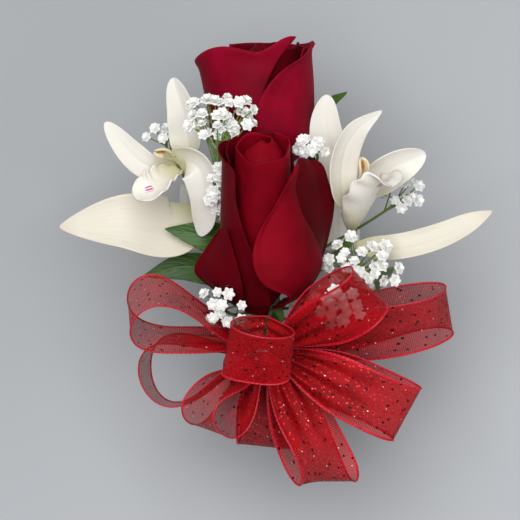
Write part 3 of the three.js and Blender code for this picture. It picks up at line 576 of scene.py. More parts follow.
def floret_finish():
    """Chalk white petals, yellow green in the heart, with soft relief."""
    chalk = Finish("floret_white", 300, 2600, dict(Count=5), Subsurface_Weight=0.4,
                   Subsurface_Radius=(0.002, 0.002, 0.002), Subsurface_Scale=0.8)
    base = chalk.ramp(chalk.along, (0.0, FLORET_HEART), (0.2, FLORET_MIDDLE), (0.6, FLORET_RIM))
    clouded = chalk.tint(base, chalk.patch, 0.1, FLORET_CLOUD)
    return chalk.done(clouded, (0.6, 0.2), (chalk.grain, 0.2, 0.0003))


FLORET = floret_finish()
print("floret finish:", FLORET.name)

# %% [markdown]
# Dark flocked dots are scattered over the ribbon, with tiny specks of red glitter. Rarer pale pink
# flecks are glitter with a painted glint: their colour stands in for light caught by the glitter.
# Each could be a disc of its own, but there are thousands. A Voronoi texture has one point in each of
# its cells, so the distance to that point gives one round dot a cell. The map's unit is one ribbon
# width in both directions, so dots and threads have a real size.

# %% Scattered dots
RIBBON_WIDTH = 22
DOT = dict(spacing=5.0, size=0.85, soft=0.35)
SPECK = dict(spacing=1.6, size=0.36, soft=0.6)
# Glitter flecks painted pale pink: a painted glint.
PAINTED_GLINT = dict(spacing=8.0, size=0.34, soft=0.4)


def dots(nodes, where, spacing, size, soft):
    """Mask of round dots, one in each cell of a scattered grid. Sizes are in millimetres."""
    scale = RIBBON_WIDTH / spacing
    cells = nodes.add("TexVoronoi", dict(Vector=where, Scale=scale), voronoi_dimensions="2D")
    radius = size / 2 / spacing
    return nodes.ramp(cells.outputs["Distance"], (radius, 1), (radius * (1 + soft), 0))


print("dots, specks and sparks across the ribbon:", *(
    round(RIBBON_WIDTH / kind["spacing"], 1) for kind in (DOT, SPECK, PAINTED_GLINT)))

# %% [markdown]
# The ribbon is organza: a plain weave of fine bright threads with air between them, so it is
# partly clear. Single threads would take millions of faces, so two waves stand for warp and weft.
# Where the ribbon is gathered, its threads crowd together and it closes up, and its red is darkened
# there as painted shade for the folds.

# %% Ribbon finish
THREAD_PITCH = 0.55
GATHER_AND_SHADE = "gather_and_shade"
CLOTH_DARK, CLOTH_LIT = (0.17, 0.001, 0.002), (0.38, 0.002, 0.006)
THREAD_RED = (0.62, 0.006, 0.014)
PAINTED_FOLD_SHADE_RED = (0.16, 0.001, 0.002)
SELVEDGE_RED = (0.66, 0.006, 0.028)
DOT_RED = (0.05, 0.002, 0.004)
SPECK_RED = (0.82, 0.03, 0.035)
PAINTED_GLINT_PINK = (1.0, 0.75, 0.72)
AIR_COVER, THREAD_COVER, GATHER_COVER = 0.43, 0.40, 0.4


def ribbon_finish():
    """Sheer woven red with satin edges, dark dots, glitter with painted glints, and painted fold shade where
    gathered; Alpha follows the threads.
    """
    red = Finish("bow_organza", 90, 1200, Sheen_Weight=0.08, Sheen_Roughness=0.35,
                 Sheen_Tint=(1.0, 0.15, 0.15, 1), Specular_IOR_Level=0.1)
    where, across, along = red.surface()
    turns = 2 * math.pi * RIBBON_WIDTH / THREAD_PITCH
    warp, weft = (red.math("SINE", red.times(way, turns)) for way in (across, along))
    weave = red.math("MULTIPLY_ADD", red.math("MAXIMUM", warp, weft), 0.5, 0.5)
    aside = red.times(red.math("ABSOLUTE", red.math("SUBTRACT", across, 0.5)), 2.0)
    selvedge = red.ramp(aside, (0.93, 0), (0.95, 1))
    dark, speck, painted_glint = (dots(red, where, **kind) for kind in (DOT, SPECK, PAINTED_GLINT))
    gather_and_shade = red.add("Attribute", attribute_name=GATHER_AND_SHADE).outputs["Fac"]
    cloth = red.ramp(red.patch, (0.36, CLOTH_DARK), (0.64, CLOTH_LIT))
    threads = red.tint(cloth, weave, 0.35, THREAD_RED)
    # Painted shade: the red darkens where the ribbon is gathered, standing in for the shadow in its folds.
    fold_shaded = red.tint(threads, gather_and_shade, 0.5, PAINTED_FOLD_SHADE_RED)
    edged = red.mix(selvedge, fold_shaded, SELVEDGE_RED)
    dotted = red.mix(dark, edged, DOT_RED)
    specked = red.tint(dotted, speck, 0.7, SPECK_RED)
    # Painted glints: pale pink flecks stand in for light caught by the glitter.
    with_painted_glints = red.mix(painted_glint, specked, PAINTED_GLINT_PINK)
    sheer = red.math("MULTIPLY_ADD", weave, THREAD_COVER, AIR_COVER)
    closed = red.math("MULTIPLY_ADD", gather_and_shade, GATHER_COVER, sheer)
    shiny = red.math("MAXIMUM", speck, painted_glint)
    covered = red.math("MAXIMUM", red.math("MAXIMUM", selvedge, dark), shiny)
    gloss = red.times(red.math("MAXIMUM", shiny, selvedge), 0.2)
    red.paint(
        Base_Color=with_painted_glints, Alpha=red.math("MAXIMUM", closed, covered, clamp=True),
        Metallic=red.times(shiny, 0.6), Roughness=red.math("SUBTRACT", 0.5, gloss),
        Normal=red.relief(red.math("MULTIPLY_ADD", dark, 2.0, weave), 0.25, 0.0002))
    return red.material


RIBBON = ribbon_finish()
print("ribbon threads are", THREAD_PITCH, "mm apart")

# %% [markdown]
# A twisted satin cord stiffens each edge of the ribbon. Its turns could be modelled strands, but
# the cord is only a pixel or two wide, so a slanting wave on the map shows them, both as relief and
# as painted light and shade from the lit top of each turn to its shaded groove.

# %% Edge cord finish
CORD_TWIST = 1.2
CORD_PAINTED_SHADE, CORD_PAINTED_LIGHT = (0.34, 0.002, 0.010), (0.62, 0.007, 0.026)


def cord_finish():
    """Satin thread: slanting turns by both map directions, with painted light and shade across each turn and
    grain in its gloss.
    """
    satin = Finish("bow_satin_edge", 120, 2200, Sheen_Weight=0.2, Sheen_Roughness=0.3,
                   Sheen_Tint=(1.0, 0.2, 0.2, 1), IOR=1.45)
    _, around, along = satin.surface()
    steps = satin.times(along, 2 * math.pi * RIBBON_WIDTH / CORD_TWIST)
    twist_relief_and_shade = satin.wave(satin.math("MULTIPLY_ADD", around, 2 * math.pi, steps))
    # Painted light and shade: each turn runs from a shaded to a lit red.
    colour = satin.ramp(twist_relief_and_shade, (0.0, CORD_PAINTED_SHADE), (1.0, CORD_PAINTED_LIGHT))
    return satin.done(colour, (0.22, 0.2), (twist_relief_and_shade, 0.3, 0.0002))


EDGE_CORD = cord_finish()
print("cord turns are", CORD_TWIST, "mm apart")

# %% [markdown]
# The hidden side has its own finishes: ruched satin on the elastic, waxed tape wound on the stems
# and plain sheet steel for the clip and the tie wire. Satin and tape are both lined cloth, so one
# recipe makes them.

# %% Band, tape and steel finishes
STEEL_DARK, STEEL_LIGHT = (0.50, 0.51, 0.53), (0.66, 0.67, 0.69)


def lined_cloth(name, scales, veins, tones, line, share, rough, relief, **sockets):
    """Cloth between two tones by patches, with lines of a third tone along the map."""
    cloth = Finish(name, *scales, veins, **sockets)
    base = cloth.ramp(cloth.patch, (0.3, tones[0]), (0.7, tones[1]))
    lined = cloth.tint(base, cloth.vein, share, line)
    return cloth.done(lined, rough, (cloth.math("ADD", cloth.vein, cloth.grain), *relief))


def steel_finish():
    """Sheet steel with faint smudges."""
    steel = Finish("clip_sheet_steel", 180, 2400, Metallic=1.0)
    smudged = steel.ramp(steel.patch, (0.3, STEEL_DARK), (0.7, STEEL_LIGHT))
    return steel.done(smudged, (0.22, 0.3), (steel.grain, 0.1, 0.0001))


SATIN = lined_cloth(
    "band_satin", (120, 2200), dict(Count=70, Waver=0.004), ((0.70, 0.65, 0.56), (0.86, 0.83, 0.76)),
    (0.55, 0.5, 0.42), 0.12, (0.28, 0.2), (0.2, 0.0002), Sheen_Weight=0.3, Sheen_Roughness=0.3,
    Specular_IOR_Level=0.6)
TAPE = lined_cloth(
    "stem_tape_green", (140, 1800), dict(Count=40, Waver=0.05), ((0.05, 0.10, 0.02), (0.11, 0.19, 0.05)),
    (0.16, 0.26, 0.09), 0.2, (0.45, 0.3), (0.35, 0.0003), Specular_IOR_Level=0.4)
STEEL = steel_finish()
print("finishes:", len(bpy.data.materials))

# %% [markdown]
# A rose petal is part of a bowl. Its bowl is a profile of radius against height, moved outwards by
# a layer or more where it wraps another petal, and the petal is swept between two edge angles that
# change with height. A flat petal could be draped by a cloth solver, but a swept bowl stays where
# its plain solid is. Free rims roll outwards, which is what makes a rose look soft.

# %% One rose petal
PETAL_LAYER = 1.7
TUCK_BEND = 0.6
RIM_FROM = 0.82
SIDE_FROM = 0.72
CREST_NARROW = 1.8
CURL_POWER = 1.6
RIM_SINK = 0.35
RIPPLE_SHIFT = 2.0


def wrapped(profile, distance):
    """A profile moved outwards, square to itself, by a distance."""
    profile = np.asarray(profile, dtype=float)
    ahead = unit(np.concatenate([profile[1:], profile[-1:]]) - np.concatenate([profile[:1], profile[:-1]]))
    return profile + distance * np.stack([ahead[:, 1], -ahead[:, 0]], -1)


def petal(profile, left, right, layer=0.0, tuck_left=(0, 0), tuck_right=(0, 0), roll=1.2, ripple=0.35,
          wave=3.0, curl=0.0, curl_at=0.0, curl_from=0.68, droop=0.0, edge=(0.0, 0.0), dip=0.0, crests=(),
          rows=48, columns=60):
    """Grid of a petal in the rose's own frame.

    The radius and height come from the wrapped profile at v. The angle goes from the left key to
    the right key at v. A tucked edge lies further in, behind another petal. The rim rolls out by
    roll, ripples, and may curl and droop further towards one angle. Each free side edge rolls out
    by its own amount, the rim's corners dip, and each crest lifts the rim round one angle.
    """
    u, v = parameters(rows, columns)
    shape = curve(wrapped(profile, layer * PETAL_LAYER), v)
    start, end = curve(left, v), curve(right, v)
    angle = np.radians(start + (end - start) * (u + 1) / 2)
    rim = smooth(v, RIM_FROM, 1.0)
    towards = np.maximum(np.cos(angle - np.radians(curl_at)), 0) ** 2
    bent = smooth(v, curl_from, 1.0) ** CURL_POWER * towards
    radius = shape[..., 0] + roll * rim ** 2 + curl * bent
    radius = radius + ripple * v ** 3 * np.sin(wave * angle + RIPPLE_SHIFT * layer)
    for tuck, side, out in ((tuck_left, -u, edge[0]), (tuck_right, u, edge[1])):
        radius = radius - curve(tuck, v) * ((1 + side) / 2) ** TUCK_BEND
        radius = radius + out * smooth(side, SIDE_FROM, 1.0) ** 2
    height = shape[..., 1] - droop * bent - dip * rim * np.abs(u) ** 3 - RIM_SINK * roll * rim ** 3
    for lift, at in crests:
        near = np.clip(CREST_NARROW * (angle - np.radians(at)), -np.pi / 2, np.pi / 2)
        height = height + lift * v ** 5 * np.cos(near) ** 2
    return polar(radius, angle, height)


# %% [markdown]
# The heart of a rose is many small petals rolled round one another. They could be made one by one,
# but only their rims show, so one long sheet on a spiral stands for them. Its inner turns draw in
# to a closed bud.

# %% Rolled heart
BUD_CLOSED, BUD_OPEN = 0.45, 0.72
BUD_DRAW = 0.93
BUD_TOP = 1.06
BUD_LOBES = [(0.03, 3, -2.2), (0.02, 5, 4)]
MOUTH_WAVES = [(0.5, 4, 6)]


def drifting(waves, angle, s):
    """A sum of waves round the bud, each with a size, a count and a drift along the spiral."""
    return sum(size * np.cos(count * angle + drift * s) for size, count, drift in waves)


def spiral_heart(profile, turns, inner, start, lean, close_from, rows=60, columns=190):
    """Rolled inner petals: one sheet on a spiral whose radius grows from inner to the profile's.

    Above close_from the inner turns draw in to a closed tip, and the last turn stays open as the
    bud's mouth. The mouth's rim rises and falls once a turn by lean.
    """
    s, v = parameters(rows, columns, low=0.0)
    angle = np.radians(start) + 2 * np.pi * turns * s
    shape = curve(profile, v)
    share = inner + (1 - inner) * s
    closed = 1 - smooth(s, BUD_CLOSED, BUD_OPEN)
    lobes = drifting(BUD_LOBES, angle, s)
    draw = 1 - BUD_DRAW * closed * smooth(v, close_from, BUD_TOP) / smooth(1.0, close_from, BUD_TOP)
    radius = shape[..., 0] * share * draw * (1 + lobes * v ** 2)
    wander = lean[0] * np.cos(angle - np.radians(lean[1])) + drifting(MOUTH_WAVES, angle, s)
    height = shape[..., 1] + (wander * (1 - closed) + lean[0] * closed) * v ** 4
    return polar(radius, angle, height)


# %% [markdown]
# A blade is a petal of another kind: a midrib through a few points, a half width that changes
# along it, and a bend across it. Orchid petals and lips, leaves and sepals are all blades. They
# could be cut flat and bent by modifiers, but one formula does both and keeps the tip in its place.

# %% Blades
VIEWER = (0, 0, 1)
TIP_CROWDING = 1.4
LEAST_HALF_WIDTH = 0.15
LEAST_BEND = 1e-3
KEEL_ROUND = 0.02
KEEL_SINK = 0.14
FRILL_SHIFT = 1.5
GROOVE_WIDTH = 0.12


def blade(points, half, bend, face=VIEWER, fold=0.0, frill=0.0, waves=5.0, rows=60, columns=26, sharp=0.0,
          blunt=60.0):
    """Grid of a blade: the midrib's point, plus an arc across that opens towards face.

    fold lifts both sides from a keel, frill waves the edges, and sharp adds a midrib groove. The
    tip is rounded by the root of 1 less a power of v, and a low power, blunt, rounds more of it.
    """
    u, v = parameters(rows, columns)
    v = 1 - (1 - v) ** TIP_CROWDING
    along = heading(points, v)
    normal = square_to(np.asarray(face, dtype=float), along)
    width = np.maximum(curve(half, v) * np.sqrt(1 - v ** blunt), LEAST_HALF_WIDTH)
    arc = np.maximum(np.radians(curve(bend, v)), LEAST_BEND)
    lift = width * (1 - np.cos(arc * u)) / arc
    lift = lift + width * fold * (np.sqrt(u * u + KEEL_ROUND) - KEEL_SINK)
    swing = np.sin(2 * np.pi * waves * v + FRILL_SHIFT * np.sign(u))
    lift = lift + frill * np.abs(u) ** 3 * swing * np.sin(np.pi * v)
    lift = lift - sharp * np.exp(-(u / GROOVE_WIDTH) ** 2) * np.sin(np.pi * v)
    aside = width * np.sin(arc * u) / arc
    return curve(points, v) + aside[..., None] * np.cross(along, normal) + lift[..., None] * normal


def add_blade(name, form, finish, slot, thickness, **shape):
    """A blade as a piece that stands for the node of its name."""
    piece(f"{name}_{form}", name, [grid(blade(**shape))], [finish], thickness)


# %% [markdown]
# A rose sits in its calyx, a green hip with five narrow sepals bent back from its top. The hip could
# be lathed by a modifier, but a profile carried round a circle gives the same surface at once. Both
# are worked out upright, and one function tips the whole flower into its place.

# %% Calyx
SEPALS = 5
SEPAL_RIB = np.array([[4.0, -1.2], [7.4, -1.9], [9.0, -4.5], [9.0, -8.5]])
SEPAL_HALF = [2.4, 2.2, 1.4, 0.3]
SEPAL_BEND = [20] * 4
HIP_SIDES = 23
HIP = np.array([
    [0.01, -1.0], [1.9, -1.0], [3.4, -0.75], [4.2, -0.45], [5.2, -0.2], [5.6, -0.06], [0.01, -0.05]])


def stand(points, base, tilt):
    """Points of a flower's own frame, tipped from upright to a tilt above the plane and placed."""
    turn = np.radians(tilt - 90)
    x, y, z = np.moveaxis(points, -1, 0)
    tipped = np.stack([x, y * np.cos(turn) - z * np.sin(turn), y * np.sin(turn) + z * np.cos(turn)], -1)
    return tipped + np.asarray(base)


def calyx(base, tilt, hip_length):
    """The hip, a turned profile whose heights are shares of its length, and five sepals."""
    turn, _ = parameters(len(HIP), HIP_SIDES, low=0.0, closed=True)
    hip = polar(HIP[:, :1], 2 * np.pi * turn, HIP[:, 1:] * hip_length)
    parts = [outward(grid(stand(hip, base, tilt), rolled=True))]
    for k in range(SEPALS):
        rib = polar(SEPAL_RIB[:, 0], 2 * np.pi * (k + 0.5) / SEPALS, SEPAL_RIB[:, 1])
        sepal = blade(rib, SEPAL_HALF, SEPAL_BEND, rows=18, columns=9)
        parts.append(grid(stand(sepal, base, tilt)))
    return parts


# %% [markdown]
# A whole rose is a calyx, a rolled heart and outer petals, each a piece of its own, because each is
# a solid of its own in the frame. Petals listed for painted shade take the darker red, which stands
# in for the shade they lie in.

# %% One rose
PETAL_THICK = 0.5


def make_rose(name, base, tilt, hip_length, heart, petals, finish, painted_shade_labels):
    """One rose: calyx, spiral heart and outer petals, some of them in a darker red as painted shade."""
    piece(f"{name}_green", f"{name}_calyx", calyx(base, tilt, hip_length), [STEM])
    sheets = {"heart": (f"{name}_rolled_heart", f"{name}_heart", spiral_heart(**heart))}
    for label, shape in petals.items():
        sheets[label] = (f"{name}_velvet_{label}", f"{name}_petal_{label}", petal(**shape))
    for label, (title, node, points) in sheets.items():
        # Painted shade: the listed petals take the darker crimson.
        red = ROSE_PAINTED_SHADE if label in painted_shade_labels else finish
        piece(title, node, [grid(stand(points, base, tilt))], [red], PETAL_THICK)


# %% [markdown]
# The front rose leans towards the viewer, so its mouth shows. Five outer petals wrap a rolled
# heart: the big front petal's free edge crosses the flower from the upper right to the lower left.
# Each petal's edge angles were read off the photograph at several heights.

# %% Front rose
FRONT_CUP = [[5, 0.5], [8.8, 7], [11, 18], [11.4, 32], [11, 46], [10.6, 57], [10.4, 63]]
front_petals = {
    "back": dict(
        profile=FRONT_CUP, layer=1, left=[60, 40, 25, 20, 20, 25, 35],
        right=[150, 170, 190, 205, 205, 200, 190], roll=1.0, ripple=0.4, dip=1.5),
    "left": dict(
        profile=FRONT_CUP, layer=2, left=[150, 140, 130, 125, 125, 130, 140],
        right=[285, 285, 275, 250, 232, 228, 215], roll=1.6, edge=(0.4, 0.5), dip=2.0),
    "front": dict(
        profile=[[6.8, 0.8], [14.6, 5.2], [20.2, 11.9], [22.4, 19.5],
                 [19.8, 29], [16.6, 39], [14.2, 49], [13.4, 60]],
        left=[-60, -60, -63, -89, -99, -91, -66, -36], right=[-8, -10, -12, -12, -14, -26, -30, -26],
        roll=1.6, edge=(1.2, 0.0), dip=0.5),
    "right": dict(
        profile=[[9.6, 1.2], [16.2, 4], [21, 10.5], [24.5, 21], [26.8, 35], [24.5, 45], [22, 54], [17.5, 60]],
        left=[-4, -5, -7, -38, -45, -42, -22, -14], right=[18, 21, 22, 22, 22, 22, 22, 20],
        tuck_left=[0, 0, 2, 5, 15.5, 13.5, 9.5, 4], roll=0.6, ripple=0.5, wave=7.0, edge=(0.0, 1.6),
        crests=((-6.5, 34),)),
    "low": dict(
        profile=[[12, 2], [18, 7.5], [23.6, 12.5], [23.4, 16.5], [20.6, 22], [18.2, 28], [17, 34.5]],
        left=[200, 191, 185, 183, 186, 194, 210], right=[238, 243, 245, 243, 238, 230, 221],
        tuck_right=[0, 3.5, 7.5, 7, 4.2, 1.8, 0.6], roll=0.3, ripple=0.2, edge=(0.5, 0.0)),
}
# The left, right, low and back petals get the painted shade, a darker red for the shade they lie in.
make_rose(
    "rose_front", base=(-2.9, -15.3, 18), tilt=27, hip_length=8,
    heart=dict(profile=FRONT_CUP, turns=2.6, inner=0.5, start=-150, lean=(2.0, 85), close_from=0.82),
    petals=front_petals, finish=ROSE_FRONT, painted_shade_labels=("left", "right", "low", "back"))

# %% [markdown]
# The back rose lies flatter, so its petals are seen from outside. Its left petal curls back at the
# tip, and the right one laps over it along a slanting edge.

# %% Back rose
BACK_CUP = [[6, 4], [11.5, 6], [15.2, 11], [16, 19], [16, 29], [15.4, 38], [15, 44]]
back_petals = {
    "left": dict(
        profile=BACK_CUP, layer=1.2, left=[150, 130, 122, 120, 120, 122, 130],
        right=[255, 268, 272, 272, 276, 292, 318], roll=1.2, curl=5.5, curl_at=176, curl_from=0.3, droop=5,
        ripple=0.5, dip=0.5, crests=((4.0, 222), (6.0, 312))),
    "right": dict(
        profile=BACK_CUP, layer=2.5, left=[-60, -88, -94, -94, -86, -62, -14],
        right=[40, 60, 68, 70, 66, 58, 46], roll=1.0, edge=(1.2, 0.0), ripple=0.3, dip=0.5,
        crests=((2.5, -8),)),
    "back": dict(
        profile=BACK_CUP, layer=1, left=[20, -8, -20, -22, -22, -24, -20],
        right=[110, 122, 128, 130, 132, 134, 136], tuck_right=[0, 0.8, 1.6, 2, 2.2, 2.2, 2.2],
        roll=0.8, ripple=0.6, wave=7.0),
}
# The back rose's heart gets the painted shade, a darker red for the shade inside its cup.
make_rose(
    "rose_back", base=(-4, 35, 6), tilt=9, hip_length=6,
    heart=dict(profile=BACK_CUP, turns=2.4, inner=0.6, start=-120, lean=(1.0, 0), close_from=0.7),
    petals=back_petals, finish=ROSE_BACK, painted_shade_labels=("heart",))

# %% [markdown]
# Stems and stalks are plain rods that bend from each flower into the taped bundle. The rod made
# for curves serves here, because its radius may change: an orchid's stalk swells where it meets
# the bloom.

# %% Stems
ROSE_STEM = [1.5, 1.5]
ORCHID_STALK = [1.8, 1.8, 1.8, 1.8, 2.6]
BUNDLE_SIDE = 4.8
STALK_ROOT = BUNDLE_SIDE + 0.9
stems = {
    "rose_front_stem": (
        ROSE_STEM, [(-2.9, -23.3, 13.9), (-2.8, -24.6, 11), (-1.9, -24.4, 7), (-1, -23.6, 4.5)]),
    "rose_back_stem": (
        ROSE_STEM, [(-4, 27.7, 4.8), (-3.5, 27.5, 3.8), (-2.4, 26.9, 2.4), (-1.4, 26.5, 1.2)]),
    "orchid_left_stalk": (
        ORCHID_STALK, [(-STALK_ROOT, -4, 0.5), (-14, 2, 3), (-22, 12, 7), (-26, 22, 9), (-31.8, 35.8, 16)]),
    "orchid_right_stalk": (
        ORCHID_STALK, [(STALK_ROOT, -9, 0.5), (18, -3, 4), (28, 5, 8), (31, 14, 11), (30, 22, 13)]),
}
for name, (radii, points) in stems.items():
    piece(f"{name}_rod", name, [tube(points, radii, rows=40, sides=16)], [STEM])

# %% [markdown]
# Each orchid has three sepals and two petals round a lip and a column. All five are long blades,
# one of them folded on a keel. A mould of one tepal could be turned five times, but in these blooms
# each is bent its own way, so each has its own few numbers.

# %% Orchid tepals
TEPAL_THICK = 0.45
tepals = {
    "orchid_left_dorsal_sepal": dict(
        points=[(-30.5, 37, 16), (-30, 44, 15), (-31.5, 54, 17), (-35.4, 66.8, 19)],
        half=[3.2, 5.2, 6.2, 6.4, 6.2, 5.6, 4.6, 3.2], bend=[30, 25, 20, 10],
        face=(-0.35, -0.2, 1), fold=0.3, blunt=14),
    "orchid_left_petal_left": dict(
        points=[(-34.3, 35, 17), (-43.5, 34, 17.8), (-51.6, 40, 19), (-60.2, 50.4, 21)],
        half=[1.5, 3.6, 4.6, 5.1, 5.2, 5, 4.5, 3.8, 3], bend=[35, 30, 25, 10],
        face=(0.2, -0.3, 1), blunt=10),
    "orchid_left_petal_right": dict(
        points=[(-33, 34.5, 19), (-30.5, 36, 26), (-25.6, 33, 29), (-23.6, 24, 26.5), (-23.8, 15.5, 21.5),
                (-25.4, 8.8, 17)],
        half=[3.4, 6.4, 7.4, 6.8, 5.6, 4.4, 2.4], bend=[30, 45, 50, 45, 30, 10],
        face=(-0.3, -0.3, 0.9), blunt=16),
    "orchid_left_sepal_lower": dict(
        points=[(-26.9, 17.3, 8.2), (-36, 12, 10), (-54, 14, 13), (-77.4, 12.2, 10)],
        half=[3.6, 8.2, 10.6, 11.7, 11.8, 10.8, 8.8, 5.8, 2.4], bend=[20, 22, 22, 10],
        face=(0, 0.15, 1), blunt=16),
    "orchid_left_sepal_inner": dict(
        points=[(-22, 17.5, 10.2), (-19.5, 13.5, 11), (-17.8, 8.5, 10)],
        half=[1, 2.6, 2.4, 0.5], bend=[20, 25, 15]),
    "orchid_right_dorsal_sepal": dict(
        points=[(27.5, 25, 14), (24, 36, 14.5), (20.6, 48, 17), (21, 60.6, 19)],
        half=[2.2, 4.8, 5.9, 6.5, 6.6, 6.3, 5.6, 4.6, 3.4], bend=[25, 28, 25, 15],
        face=(-0.1, -0.2, 1), blunt=12),
    "orchid_right_petal_left": dict(
        points=[(28.7, 19.4, 16.3), (26.5, 25, 24), (26.6, 36.5, 29), (31, 46.4, 34), (40.5, 54, 38)],
        half=[1.8, 5.2, 5.9, 4.4, 0.6], bend=[25, 40, 40, 30, 10], face=(0.35, 0.1, 0.9)),
    "orchid_right_petal_right": dict(
        points=[(32.9, 22.6, 14.4), (39, 29, 17), (46.8, 34.4, 21), (56.9, 39, 23)],
        half=[1.6, 4, 5.8, 6.8, 7.3, 7.2, 6.6, 5.6, 4.4], bend=[30, 48, 45, 30],
        face=(-0.25, -0.4, 1), blunt=9),
    "orchid_right_sepal_lower": dict(
        points=[(31.5, 5, 9.5), (45.6, 4.6, 12), (62, 8.6, 14), (81.8, 17.9, 15)],
        half=[1.6, 3.8, 4.7, 5, 5, 4.9, 4.6, 3.7, 1.6], bend=[20, 25, 22, 10], face=(0, 0.2, 1), blunt=16),
    "orchid_right_sepal_inner": dict(
        points=[(27.4, 1.3, 7.2), (32, -5, 8), (39, -11, 7)], half=[1.4, 4, 3.6, 0.5], bend=[20, 25, 15]),
}
for name, shape in tepals.items():
    finish = CREAM_SEPAL if name.endswith(("_lower", "_inner")) else ORCHID
    add_blade(name, "wax", finish, "orchid_petal", TEPAL_THICK, **shape, frill=0.25, waves=2.5, sharp=0.25)

# %% [markdown]
# An orchid's lip is a deep cup with a frilled rim, which hangs in front of the tepals. It is a blade
# too, only more strongly bent and with more waves at its edge.

# %% Orchid lips
LIP_THICK = 0.7
lips = {
    "orchid_left_lip": (LEFT_LIP, dict(
        points=[(-32.9, 33.2, 18.1), (-38.5, 29, 25), (-43, 26, 28.5), (-50, 24.5, 28)],
        half=[2, 6.2, 7.2, 6.6, 5], bend=[60, 80, 75, 50, 35], face=(-0.3, 0.4, 1))),
    "orchid_right_lip": (RIGHT_LIP, dict(
        points=[(30.5, 11, 12.4), (32.3, 14.6, 23), (35.3, 20.5, 30), (38.8, 26, 33), (42, 28.4, 35),
                (44, 26.6, 36.5)],
        half=[2.2, 6, 8.8, 10.6, 10.8, 9.4, 7], bend=[70, 72, 66, 56, 44, 34], face=(-0.25, 0.9, -0.1))),
}
for name, (finish, shape) in lips.items():
    add_blade(name, "cup", finish, "orchid_lip", LIP_THICK, **shape, frill=0.9, waves=5.5, blunt=9)

# %% [markdown]
# Over the lip hangs the column, a short hood. A blade bent nearly into a tube gives it, and keeps
# the hollow on its under side open.

# %% Orchid columns
HOOD_THICK = 0.8
columns = {
    "orchid_left_column": dict(
        points=[(-32.4, 36.8, 17.8), (-35.8, 39, 23.5), (-38.3, 40, 27.5), (-42, 39.4, 29.5)],
        face=(-0.2, -0.6, 0.8)),
    "orchid_right_column": dict(
        points=[(31.2, 23.3, 16.2), (33, 28.5, 25), (33.6, 33, 31), (33.2, 37, 33.5)],
        face=(0.5, -0.5, 0.7)),
}
for name, shape in columns.items():
    add_blade(name, "hood", COLUMN, "orchid_lip", HOOD_THICK, **shape, half=[1.6, 2.4, 2.9, 3.3, 3.3],
              bend=[100, 105, 105, 100, 90], blunt=7, rows=30, columns=18)

# %% [markdown]
# Leaves are blades with a grooved midrib and a slightly wavy edge. Most start at the side of the
# taped bundle. The one behind the right orchid is paler, so it has a grey green of its own.

# %% Leaves
LEAF_THICK = 0.5
leaves = {
    "leaf_left_upper": (LEAF, dict(
        points=[(-BUNDLE_SIDE, -1, 2.6), (-13, 4, 9), (-22, 8.4, 15), (-38.5, 11.4, 15.5)],
        half=[0.8, 2.4, 6, 5, 0.4], bend=[20, 20, 20, 10], face=(0, -0.1, 1))),
    "leaf_left_lower": (LEAF, dict(
        points=[(-BUNDLE_SIDE, -11, 0.5), (-15, -6, 1.5), (-31, -2.5, 4), (-46.7, -6, 5)],
        half=[0.8, 3.4, 5.6, 4.4, 0.4], bend=[15, 20, 20, 10])),
    "leaf_top_right": (LEAF, dict(
        points=[(3.4, 26, -1), (13, 34, -3), (19.5, 48, 0), (21.5, 57, 3), (28.5, 62, 6)],
        half=[0.8, 1.6, 2.8, 2.4, 0.4], bend=[15, 20, 20, 10])),
    "leaf_right": (GREY_LEAF, dict(
        points=[(BUNDLE_SIDE, -15, 0.5), (22, -14, 2), (36, -9.5, 3.5), (46.5, -2.5, 5)],
        half=[0.8, 3.2, 4.6, 3.4, 0.4], bend=[15, 20, 20, 10])),
    "leaf_knot_tip": (LEAF, dict(
        points=[(-5.2, -30, 27), (-9, -28.5, 30.5), (-11.5, -25, 33), (-10.5, -19.5, 34)],
        half=[0.7, 1.5, 1.2, 0.35], bend=[15, 20, 15, 10])),
}
for name, (finish, shape) in leaves.items():
    add_blade(name, "blade", finish, "green_leaf", LEAF_THICK, **shape, frill=0.3, waves=3, sharp=0.3)

# %% [markdown]
# A bow loop is a strip of ribbon that leaves the waist, swings out and comes back. Its path is a
# teardrop, and its width keeps one direction, so the loop opens like a real one. Towards the waist
# the strip is gathered: it narrows in plan, and the spare width goes into pleats. A cloth solver
# could find such folds, but a formula gives the loops of this bow their known reach and tilt.

# %% One ribbon loop
RIBBON_PINCH = 0.3
RIBBON_FAN = 0.26
LAYER_GAP = 1.4
RIPPLES = 3
PLEAT_SHIFT = 0.8
PLEATS_FADE = (0.04, 0.40)
FLUTTER_RISE = (0.1, 0.3)
TANGENT_STEP = 1e-3
LENGTH_POINTS = 400


